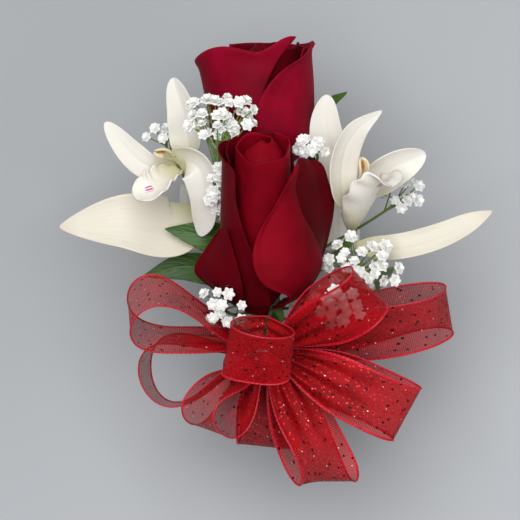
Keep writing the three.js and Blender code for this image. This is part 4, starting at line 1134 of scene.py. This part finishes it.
def ribbon_loop(start, ahead, edge, reach, belly, pinch=RIBBON_PINCH, shift=0.0, taper=2.0, pleats=3.0,
                depth=1.4, flutter=0.7, fans=(RIBBON_FAN, RIBBON_FAN), rows=150, columns=40):
    """Grid of a loop and the length of its middle line.

    Out from the start goes as (1 - cos)/2 of one turn, and aside as sin times a power of the half
    turn's sin, so the loop is a teardrop. Pleats are a sine across the width that fades outwards.
    """
    opening = unit(np.cross(ahead, edge))
    widest = 2 * np.sqrt((taper + 1) ** (taper + 1) / (taper + 2) ** (taper + 2))

    def path(t):
        """Points of the loop's middle line, by share t of one turn."""
        turn = 2 * np.pi * t
        out = (1 - np.cos(turn)) / 2
        swell = belly * np.sin(turn) * np.abs(np.sin(turn / 2)) ** taper / widest
        aside = swell + LAYER_GAP / 2 * np.cos(np.pi * t)
        return start + out[..., None] * reach * ahead + aside[..., None] * opening

    u, t = parameters(rows, columns)
    tangent = unit(path(t + TANGENT_STEP) - path(t - TANGENT_STEP))
    width = square_to(edge, tangent)
    near = np.minimum(t, 1 - t)
    spread = smooth(t, 0.0, fans[0]) * smooth(1 - t, 0.0, fans[1])
    lateral = RIBBON_WIDTH / 2 * (u * (pinch + (1 - pinch) * spread) + shift * (1 - spread))
    fold = depth * (1 - smooth(near, *PLEATS_FADE)) * np.sin(np.pi * pleats * u + PLEAT_SHIFT)
    ripple = flutter * smooth(near, *FLUTTER_RISE) * u * np.sin(2 * np.pi * RIPPLES * t + belly)
    points = path(t) + lateral[..., None] * width + (fold + ripple)[..., None] * np.cross(tangent, width)
    line = path(np.linspace(0, 1, LENGTH_POINTS))
    return points, float(np.linalg.norm(np.diff(line, axis=0), axis=1).sum())


# %% [markdown]
# Eight loops fan out from the waist. Each is placed by its compass heading in the photograph, the
# slope of its path, the roll of its width, and the level at which it leaves the waist. These few
# angles are easier to read off a picture than points would be.

# %% Places of the loops
WAIST_PLACE = -33
WAIST_RADIUS = 5.6
SEAT_GAP = 0.3
loops = {
    "bow_loop_upper_left": dict(compass=162, rise=16, roll=66, reach=48, belly=9.4, level=21, taper=2.6),
    "bow_loop_left": dict(compass=193, rise=-8, roll=86, reach=41, belly=12, level=9),
    "bow_loop_lower_left": dict(compass=228, rise=14, roll=57, reach=31, belly=7.5, level=21),
    "bow_loop_low": dict(compass=269, rise=-13, roll=8, reach=31, belly=4.5, level=7.5),
    "bow_loop_low_right": dict(compass=294, rise=-1, roll=-26, reach=47, belly=5, level=16, skew=0.36),
    "bow_loop_right": dict(compass=335, rise=3, roll=15, reach=49.5, belly=4.5, level=22),
    "bow_loop_far_right": dict(compass=12.5, rise=0, roll=35, reach=62, belly=6, level=9),
    "bow_loop_upper_right": dict(compass=32, rise=22, roll=30, reach=39, belly=5.5, level=28),
}


def loop_setting(compass, rise, roll, reach, belly, level, taper=2.0, skew=0.0):
    """Start, heading, width direction and size of a loop, from its compass heading and slopes."""
    compass, rise, roll = np.radians([compass, rise, roll])
    plan = np.array([np.cos(compass), np.sin(compass), 0])
    ahead = plan * np.cos(rise) + np.array([0, 0, np.sin(rise)])
    across = np.array([-plan[1], plan[0], 0])
    upright = unit(np.cross(ahead, across))
    edge = across * np.cos(roll) + upright * np.sin(roll) + ahead * skew
    lean = RIBBON_PINCH * RIBBON_WIDTH / 2 * abs(np.sin(roll) * np.sin(rise))
    start = plan * (WAIST_RADIUS + SEAT_GAP + lean) + np.array([0, WAIST_PLACE, level])
    return dict(start=start, ahead=ahead, edge=edge, reach=reach, belly=belly, taper=taper)


print("longest loop reaches", max(loop["reach"] for loop in loops.values()), "mm from the waist")

# %% [markdown]
# Each loop becomes a sheet of ribbon of its real width and length. A thin cord runs along each edge,
# so the edge still shows where the sheer strip is seen end on. How tightly the strip is gathered is
# kept on its points as an attribute, which the ribbon's finish reads to close up the weave and to
# darken the red there as painted fold shade.

# %% Ribbon loops
EDGE_CORD_RADIUS = 0.32
GATHER_FADE = (0.02, 0.4)


def mark_gather_and_shade(obj, shares):
    """A point attribute on the first points of a mesh: 1 where the ribbon is gathered tight, which also
    places the painted fold shade.
    """
    values = np.zeros(len(obj.data.vertices))
    values[:len(shares)] = shares
    obj.data.attributes.new(GATHER_AND_SHADE, "FLOAT", "POINT").data.foreach_set("value", values)


def add_loop(name, points, length):
    """The loop as a sheet of ribbon of its real width and length, with a cord in each edge."""
    turns = length / RIBBON_WIDTH
    parts = [grid(points, scale=(1.0, turns))]
    for side in (0, -1):
        cord = tube(points[::3, side], [EDGE_CORD_RADIUS] * 2, rows=len(points), sides=6, finish=1)
        cord["map"] = cord["map"] * np.array([1.0, turns])
        parts.append(cord)
    strip = piece(f"{name}_organza", name, parts, [RIBBON, EDGE_CORD])
    _, t = parameters(*points.shape[:2])
    mark_gather_and_shade(strip, 1 - smooth(np.minimum(t, 1 - t).ravel(), *GATHER_FADE))
    print(f"{name}: ribbon {RIBBON_WIDTH} mm wide, {length:.0f} mm long")


for name, given in loops.items():
    add_loop(name, *ribbon_loop(**loop_setting(**given)))

# %% [markdown]
# The centre loop hides the waist. It stands up towards the viewer and is rounder than the rest.
# Its foot rests on the wire that ties the bow, so its height is worked out from the waist and the
# wire.

# %% Centre loop
WAIST_BOTTOM = 4.5
WAIST_TOP = 28.5
TIE_REACH = 5.2
TIE_WIRE_RADIUS = 0.5
FOOT_SHARE = 0.45
centre_edge = unit(np.array([0.1, 0.82, 0.56]))
foot_height = SEAT_GAP + FOOT_SHARE * RIBBON_WIDTH * centre_edge[2] / 2
centre_start = np.array([-2, WAIST_PLACE + 5, WAIST_TOP + TIE_REACH + TIE_WIRE_RADIUS + foot_height])
add_loop("bow_loop_centre", *ribbon_loop(
    centre_start, unit(np.array([-0.15, -0.45, 0.88])), centre_edge, reach=18, belly=11.5, pinch=0.62,
    shift=0.25, taper=1.0, depth=0.9, fans=(0.3, 0.6)))

# %% [markdown]
# A floret of baby's breath is a little ball of ruffled petals. Single petals would take far too
# many faces, so three cupped, lobed rosettes inside one another make it, and they are copied to
# each place.

# %% One floret
ROSETTE_BODY, ROSETTE_LOBE = 0.86, 0.14
ROSETTE_RUFFLE = 0.12
ROSETTE_CURL = 1.6


def rosette(radius, lobes, cup, lift, turn, rows=4):
    """Grid of one ruffled rosette: a polar disc whose rim is lobed and whose height curls up."""
    u, v = parameters(rows, 4 * lobes, low=0.0, closed=True)
    angle = 2 * np.pi * u + turn
    reach = radius * v * (ROSETTE_BODY + ROSETTE_LOBE * np.cos(lobes * angle) * v)
    ruffle = ROSETTE_RUFFLE * radius * v ** 2 * np.sin(2 * lobes * angle + turn)
    return polar(reach, angle, lift + cup * radius * v ** ROSETTE_CURL + ruffle)


ROSETTES = [
    rosette(1.0, 6, 0.10, -0.10, 0.0),
    rosette(0.78, 5, 0.45, 0.05, 0.5),
    rosette(0.5, 4, 0.9, 0.12, 0.2),
]
print("points in one floret:", sum(layer.shape[0] * layer.shape[1] for layer in ROSETTES))

# %% [markdown]
# The florets of a sprig crowd evenly, much as seeds fill a flower head. A grid would show its rows,
# so each place is a golden angle further round than the last. A floret also faces its own way, and a
# matrix whose columns are three square directions turns it there.

# %% Places and directions of florets
GOLDEN_ANGLE = np.radians(137.508)
GOLDEN_START = 0.3
ROUGHLY_UP = np.array([0.2, 1.0, 0.1])


def facing(directions):
    """Turning matrices that take +Z to each direction."""
    z = unit(directions)
    x = unit(np.cross(ROUGHLY_UP, z))
    return np.stack([x, np.cross(z, x), z], -1)


def golden_disc(count):
    """Places that fill a unit disc evenly by the golden angle, and how far out each one lies."""
    k = np.arange(count)
    reach = np.sqrt((k + GOLDEN_START) / count)
    return reach * np.cos(GOLDEN_ANGLE * k), reach * np.sin(GOLDEN_ANGLE * k), reach


print("the outermost of 36 places lies at", round(float(golden_disc(36)[2].max()), 3), "of the disc")

# %% [markdown]
# A sprig is a main stalk whose side stalks, thin as thread, carry the florets. Their places are a
# golden disc drawn out to an ellipse, and a seeded scatter breaks its pattern. Particles could strew
# them too, but here each floret has a stalk that leads to it.

# %% A sprig
FLORET_RADIUS = 2.4
FLORET_SIZES = (0.85, 1.25)
FLORET_JITTER, LEAN_JITTER = 1.5, 0.3
STALK_RADIUS = 0.45
MAIN_STALK = [STALK_RADIUS * 1.3, STALK_RADIUS]
SIDE_STALK = [STALK_RADIUS * 0.7, STALK_RADIUS * 0.5]
STALK_SAG = 0.6
FIRST_FORK, LAST_FORK, MORE_FORK = 0.05, 0.94, 0.9
CHAIN_END = 0.8
CHAIN_SWING = (1.9, 1.2, 1.6)
CHAIN_TURN = (2.4, 1.7)
CHAIN_STALK = 0.06


def sprig(stalk, spread, count, depth, leave, seed, chain=0, chain_from=0.4, more=None):
    """Grids of one sprig: main stalk, side stalks and florets.

    The florets fill a shallow dome at the stalk's end. A chain adds florets along the stalk, and
    more adds them at given places.
    """
    chance = np.random.default_rng(seed)
    x, y, reach = golden_disc(count)
    dome = np.stack([spread[0] * x, spread[1] * y, depth * (1 - 2 * reach ** 2)], -1)
    places = np.asarray(stalk[-1]) + (dome + chance.normal(0, FLORET_JITTER, dome.shape))
    forks = leave + (LAST_FORK - leave) * np.arange(count) / count
    if chain:
        share, k = np.linspace(chain_from, CHAIN_END, chain), np.arange(chain)
        wide, tall, lift = CHAIN_SWING
        swing = np.stack(
            [wide * np.cos(CHAIN_TURN[0] * k), tall * np.sin(CHAIN_TURN[1] * k), np.full(chain, lift)], -1)
        places = np.concatenate([places, curve(stalk, share) + swing])
        forks = np.concatenate([forks, np.maximum(share - CHAIN_STALK, FIRST_FORK)])
    if more is not None:
        places = np.concatenate([places, more])
        forks = np.concatenate([forks, np.full(len(more), MORE_FORK)])
    roots = curve(stalk, forks)
    lean = unit(places - roots) + np.asarray(VIEWER) + chance.normal(0, LEAN_JITTER, places.shape)
    sizes = FLORET_RADIUS * chance.uniform(*FLORET_SIZES, len(places))
    parts = [tube(stalk, MAIN_STALK, sides=8, finish=1)]
    for root, place in zip(roots, places):
        middle = (root + place) / 2 - STALK_SAG * np.asarray(VIEWER)
        parts.append(tube([root, middle, place], SIDE_STALK, rows=6, sides=5, finish=1))
    for layer in ROSETTES:
        turned = np.einsum("nij,rcj->nrci", facing(lean), layer)
        copies = turned * sizes[:, None, None, None] + places[:, None, None]
        parts.extend(grid(copy, rolled=True) for copy in copies)
    return parts


# %% [markdown]
# Seven sprigs stand between the flowers. Some florets of the one at the knot lie inside a bow loop
# and show through its ribbon, so their places are worked out between that loop's two layers.

# %% Baby's breath
def inside_loop(name, count, low, high, aside):
    """Places between a loop's two layers, from low to high of its reach, on a golden disc."""
    given = loop_setting(**loops[name])
    x, y, _ = golden_disc(count)
    out = ((low + high) / 2 + (high - low) / 2 * x) * given["reach"]
    return given["start"] + out[:, None] * given["ahead"] + (aside * y)[:, None] * given["edge"]


sprigs = {
    "sprig_top": dict(
        stalk=[(-BUNDLE_SIDE, 4, 2.6), (-13, 9, 8), (-19.2, 18, 22), (-19.4, 30, 35), (-17.5, 52, 36)],
        spread=(12, 8.5), count=36, depth=2, leave=0.75, chain=12, chain_from=0.46),
    "sprig_right_top": dict(
        stalk=[(BUNDLE_SIDE, 24, 1.5), (13.5, 29, 9), (17.5, 37, 22), (15.5, 41, 31)],
        spread=(5.5, 4), count=8, depth=1, leave=0.7),
    "sprig_far_right": dict(
        stalk=[(BUNDLE_SIDE, -3, 1), (20, 4.5, 1.5), (38, 15, 4), (51, 24, 9)],
        spread=(6.5, 7), count=10, depth=1, leave=0.75),
    "sprig_right": dict(
        stalk=[(BUNDLE_SIDE, -18, 1.5), (16, -17, 7), (26, -10, 14), (34, -1, 22)],
        spread=(14, 9.5), count=28, depth=2, leave=0.7),
    "sprig_lower_left": dict(
        stalk=[(-BUNDLE_SIDE, -19, 1.5), (-11, -20, 8), (-15, -19.5, 17), (-17.3, -16, 34)],
        spread=(6.6, 8.4), count=13, depth=1, leave=0.7),
    "sprig_knot": dict(
        stalk=[(BUNDLE_SIDE, -21.5, 1.5), (9, -22.5, 8), (14, -21, 14), (18.5, -17.5, 20)],
        spread=(10, 6.5), count=10, depth=1, leave=0.6,
        more=inside_loop("bow_loop_upper_right", 13, 0.42, 0.9, 8)),
    "sprig_far_left": dict(
        stalk=[(-BUNDLE_SIDE, 23.8, 0), (-20, 30, 0.5), (-34, 37, 5), (-40.5, 45.5, 11)],
        spread=(4.4, 4.6), count=6, depth=1, leave=0.75),
}
for seed, (name, shape) in enumerate(sprigs.items()):
    piece(f"{name}_florets", name, sprig(**shape, seed=seed), [FLORET, STEM])

# %% [markdown]
# Under the centre loop, all the loops' ends are gathered into one upright, pleated waist. Folding
# every layer would be lost work so deep in the bow, so the waist is a turned column with a wave for
# each pleat.

# %% Waist of the bow
WAIST_PLEATS = 22
PLEAT_DEPTH = 0.06
CINCH_DEPTH, CINCH_PLACE, CINCH_WIDTH = 0.08, 0.55, 0.06
WAIST_CROWN = 4
WAIST_BODY = [0.01, 0.62, 0.95, 1.0, 1.0, 1.0, 0.92, 0.62, 0.01]
WAIST_RISE = [0, 0.01, 0.1, 0.3, 0.5, 0.7, 0.9, 0.99, 1]
ACROSS = np.array([0.0, 1.0, 0.0])


def waist_column(rows=40, sides=176):
    """Turned column whose radius waves once per pleat and shrinks towards both ends."""
    u, v = parameters(rows, sides, low=0.0, closed=True)
    body = curve(WAIST_BODY, v)
    cinch = 1 - CINCH_DEPTH * np.exp(-((v - CINCH_PLACE) / CINCH_WIDTH) ** 2)
    pleat = 1 - PLEAT_DEPTH * (1 + np.cos(2 * np.pi * WAIST_PLEATS * u)) / 2
    radius = WAIST_RADIUS * body * cinch * pleat
    rise = WAIST_TOP + WAIST_CROWN - WAIST_BOTTOM
    height = WAIST_BOTTOM + rise * curve(WAIST_RISE, v)
    return polar(radius, 2 * np.pi * u, height) + WAIST_PLACE * ACROSS


waist = piece("bow_waist_pleats", "bow_waist", [outward(grid(waist_column(), rolled=True, scale=(3, 1)))],
              [RIBBON])
# The whole waist counts as gathered, so all of it takes the painted fold shade.
mark_gather_and_shade(waist, np.ones(len(waist.data.vertices)))


# %% [markdown]
# A wire binds the waist to the taped stems. It is a round rod carried along a rounded rectangle
# whose short sides are half circles, and the same rounded rectangle later shapes the wristlet.

# %% Tie wire
def oval(s, length, height, corner, points=30):
    """Points and outward directions of an upright rounded rectangle, by share s of its way round.

    Four quarter circles are joined by straight runs, and s is measured along the whole line. The
    lowest run lies at height 0.
    """
    quarter = np.repeat(np.arange(5), [points] * 4 + [1])
    turn = np.concatenate([np.linspace(k, k + 1, points) for k in range(4)] + [[4]]) * np.pi / 2
    x = (length / 2 - corner) * np.array([1, -1, -1, 1, 1])[quarter] + corner * np.cos(turn)
    z = height / 2 + (height / 2 - corner) * np.array([1, 1, -1, -1, 1])[quarter] + corner * np.sin(turn)
    run = np.concatenate([[0], np.cumsum(np.hypot(np.diff(x), np.diff(z)))])
    x, z, turn = (np.interp(s * run[-1], run, line) for line in (x, z, turn))
    return np.stack([x, 0 * x, z], -1), np.stack([np.cos(turn), 0 * turn, np.sin(turn)], -1)


def tie_loop(rows=121, sides=10):
    """Closed rod round the waist and the stems, whose half circles are centred on both."""
    path, out = oval(np.linspace(0, 1, rows), 2 * TIE_REACH, WAIST_TOP + 2 * TIE_REACH, TIE_REACH)
    path = path + np.array([0.0, WAIST_PLACE, -TIE_REACH])
    return circles(path, out, np.broadcast_to(ACROSS, out.shape), TIE_WIRE_RADIUS, sides)


piece("bow_tie_wire_round", "bow_tie_wire", [outward(grid(tie_loop(), rolled=True))], [STEEL])

# %% [markdown]
# The stems are wrapped in stretched green tape, wound on a slant so that each turn laps the last.
# A strip could be wound round a rod, but a step in the rod's radius shows the same lap on one
# closed surface.

# %% Taped stems
STEM_RADIUS = 4.2
STEM_LOW_END = -41
STEM_LOBES = 7
LOBE_DEPTH = 0.25
TAPE_PITCH = 6.0
TAPE_STEP = 0.16


def taped_bundle(rows=180, sides=56):
    """Lobed rod along Y. Each tape turn is a shallow saw-tooth step on a helix."""
    u, v = parameters(rows, sides, low=0.0, closed=True)
    angle = 2 * np.pi * u
    y = STEM_LOW_END + (STEM_TOP_END - STEM_LOW_END) * v
    lobes = LOBE_DEPTH * (1 + np.cos(STEM_LOBES * angle)) / 2
    lap = (y / TAPE_PITCH + u) % 1.0
    radius = STEM_RADIUS - lobes - TAPE_STEP * lap
    rings = np.stack([radius * np.cos(angle), y, radius * np.sin(angle)], -1)
    return capped(rings, STEM_LOW_END * ACROSS, STEM_TOP_END * ACROSS)


piece("taped_stems_wound", "taped_stems", [outward(grid(taped_bundle(), rolled=True))], [TAPE])

# %% [markdown]
# The wristlet is elastic under ruched satin: an oval strip whose cloth is gathered into fine
# crosswise puckers that also draw in its two sewn edges. A cloth solver could ruche it, but a wave
# along the strip gives even puckers at once. It rests on its flat underside.

# %% Wristlet band
BAND_LENGTH = 68
BAND_HEIGHT = 50
BAND_WALL = 2
BAND_WIDTH = 25
BAND_CORNER = 18
PUCKERS = 74
WALL_LEAST, WALL_SWELL = 0.72, 0.26
EDGE_DRAW = 0.5
FLAT_SIDES, SQUARE_EDGES = 0.6, 0.35
PUCKER_BOW = 0.9


def blunted(wave, power):
    """A wave with its sign kept and its size raised to a power, which squares it off."""
    return np.sign(wave) * np.abs(wave) ** power


def ruched_band(rows=593, sides=28):
    """Closed strip: a flat rounded section carried round the oval, puckered along its length."""
    s = np.linspace(0, 1, rows)
    line, out = oval(s, BAND_LENGTH, BAND_HEIGHT, BAND_CORNER)
    around = np.linspace(0, 2 * np.pi, sides, endpoint=False)
    lift, wide = blunted(np.sin(around), FLAT_SIDES), blunted(np.cos(around), SQUARE_EDGES)
    pucker = 0.5 + 0.5 * np.sin(2 * np.pi * PUCKERS * s[:, None] + PUCKER_BOW * np.cos(3 * wide))
    thick = BAND_WALL / 2 * (WALL_LEAST + WALL_SWELL * pucker)
    edge = BAND_WIDTH / 2 - EDGE_DRAW * (1 - pucker)
    middle = (line - out * BAND_WALL / 2)[:, None]
    return middle + (thick * lift)[..., None] * out[:, None] + (edge * wide)[..., None] * ACROSS


piece("wristlet_band_ruched", "wristlet_band", [outward(grid(ruched_band(), rolled=True, scale=(1, 12)))],
      [SATIN], origin=np.zeros(3))

# %% [markdown]
# The clip's plate and its four tabs keep their engineering solids, because their shape is right.
# They only get the steel finish.

# %% Clip
for name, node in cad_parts.items():
    if name.startswith("clip_"):
        node.data.materials.clear()
        node.data.materials.append(STEEL)
        print("steel on", name)

# %% [markdown]
# The stage is a plain pale grey floor with painted light: it is a little lighter towards the
# picture's lower right. The fade could come from a lamp, but a ramp over the floor's own coordinates
# doesn't change the light on the flowers.

# %% Floor
FLOOR_HALF = 3.0
FLOOR_FADE = 0.40
floor_mesh = bpy.data.meshes.new("floor")
floor_corners = [(x * FLOOR_HALF, y * FLOOR_HALF, 0) for x, y in ((-1, -1), (1, -1), (1, 1), (-1, 1))]
floor_mesh.from_pydata(floor_corners, [], [(0, 1, 2, 3)])
floor = add_object("floor", floor_mesh)
stone = Finish("floor_pale_grey", 3, 400, Roughness=0.9)
floor_axes = stone.add("SeparateXYZ", {0: stone.add("TexCoord").outputs["Object"]}).outputs
slope = stone.math("SUBTRACT", floor_axes["X"], floor_axes["Y"])
painted_light_fade = stone.math("MULTIPLY_ADD", slope, 1 / FLOOR_FADE, stone.patch)
# Painted light: the floor's grey lightens towards the lower right.
stone.paint(Base_Color=stone.ramp(painted_light_fade, (0.0, (0.35, 0.365, 0.378)), (1.0, (0.46, 0.475, 0.495))))
floor_mesh.materials.append(stone.material)
print("floor:", 2 * FLOOR_HALF, "m across")

# %% [markdown]
# The light is soft: one large lamp over the viewer's left shoulder, a weaker one from the right, and
# an even sky that keeps the shadows open. A picture of a room could light it too, but two lamps and
# a sky are easy to change.

# %% Light
LIGHT_TARGET = (0, 0, 0.08)


def area_lamp(name, place, size, power):
    """A square soft lamp that points at the flowers."""
    data = bpy.data.lights.new(name, "AREA")
    data.size = size
    data.energy = power
    lamp = add_object(name, data)
    lamp.location = place
    lamp.rotation_euler = (Vector(LIGHT_TARGET) - Vector(place)).to_track_quat("-Z", "Y").to_euler()
    print(f"{name} lamp: {power} W, {size} m across")


area_lamp("key", (-0.18, 0.32, 1.5), 1.3, 25)
area_lamp("fill", (0.9, -0.3, 0.9), 1.0, 2.5)
world = bpy.data.worlds.new("soft_sky")
world.use_nodes = True
sky = world.node_tree.nodes["Background"]
sky.inputs["Color"].default_value = (0.95, 0.97, 1.0, 1)
sky.inputs["Strength"].default_value = 0.27
bpy.context.scene.world = world
bpy.context.scene.view_settings.view_transform = "Standard"
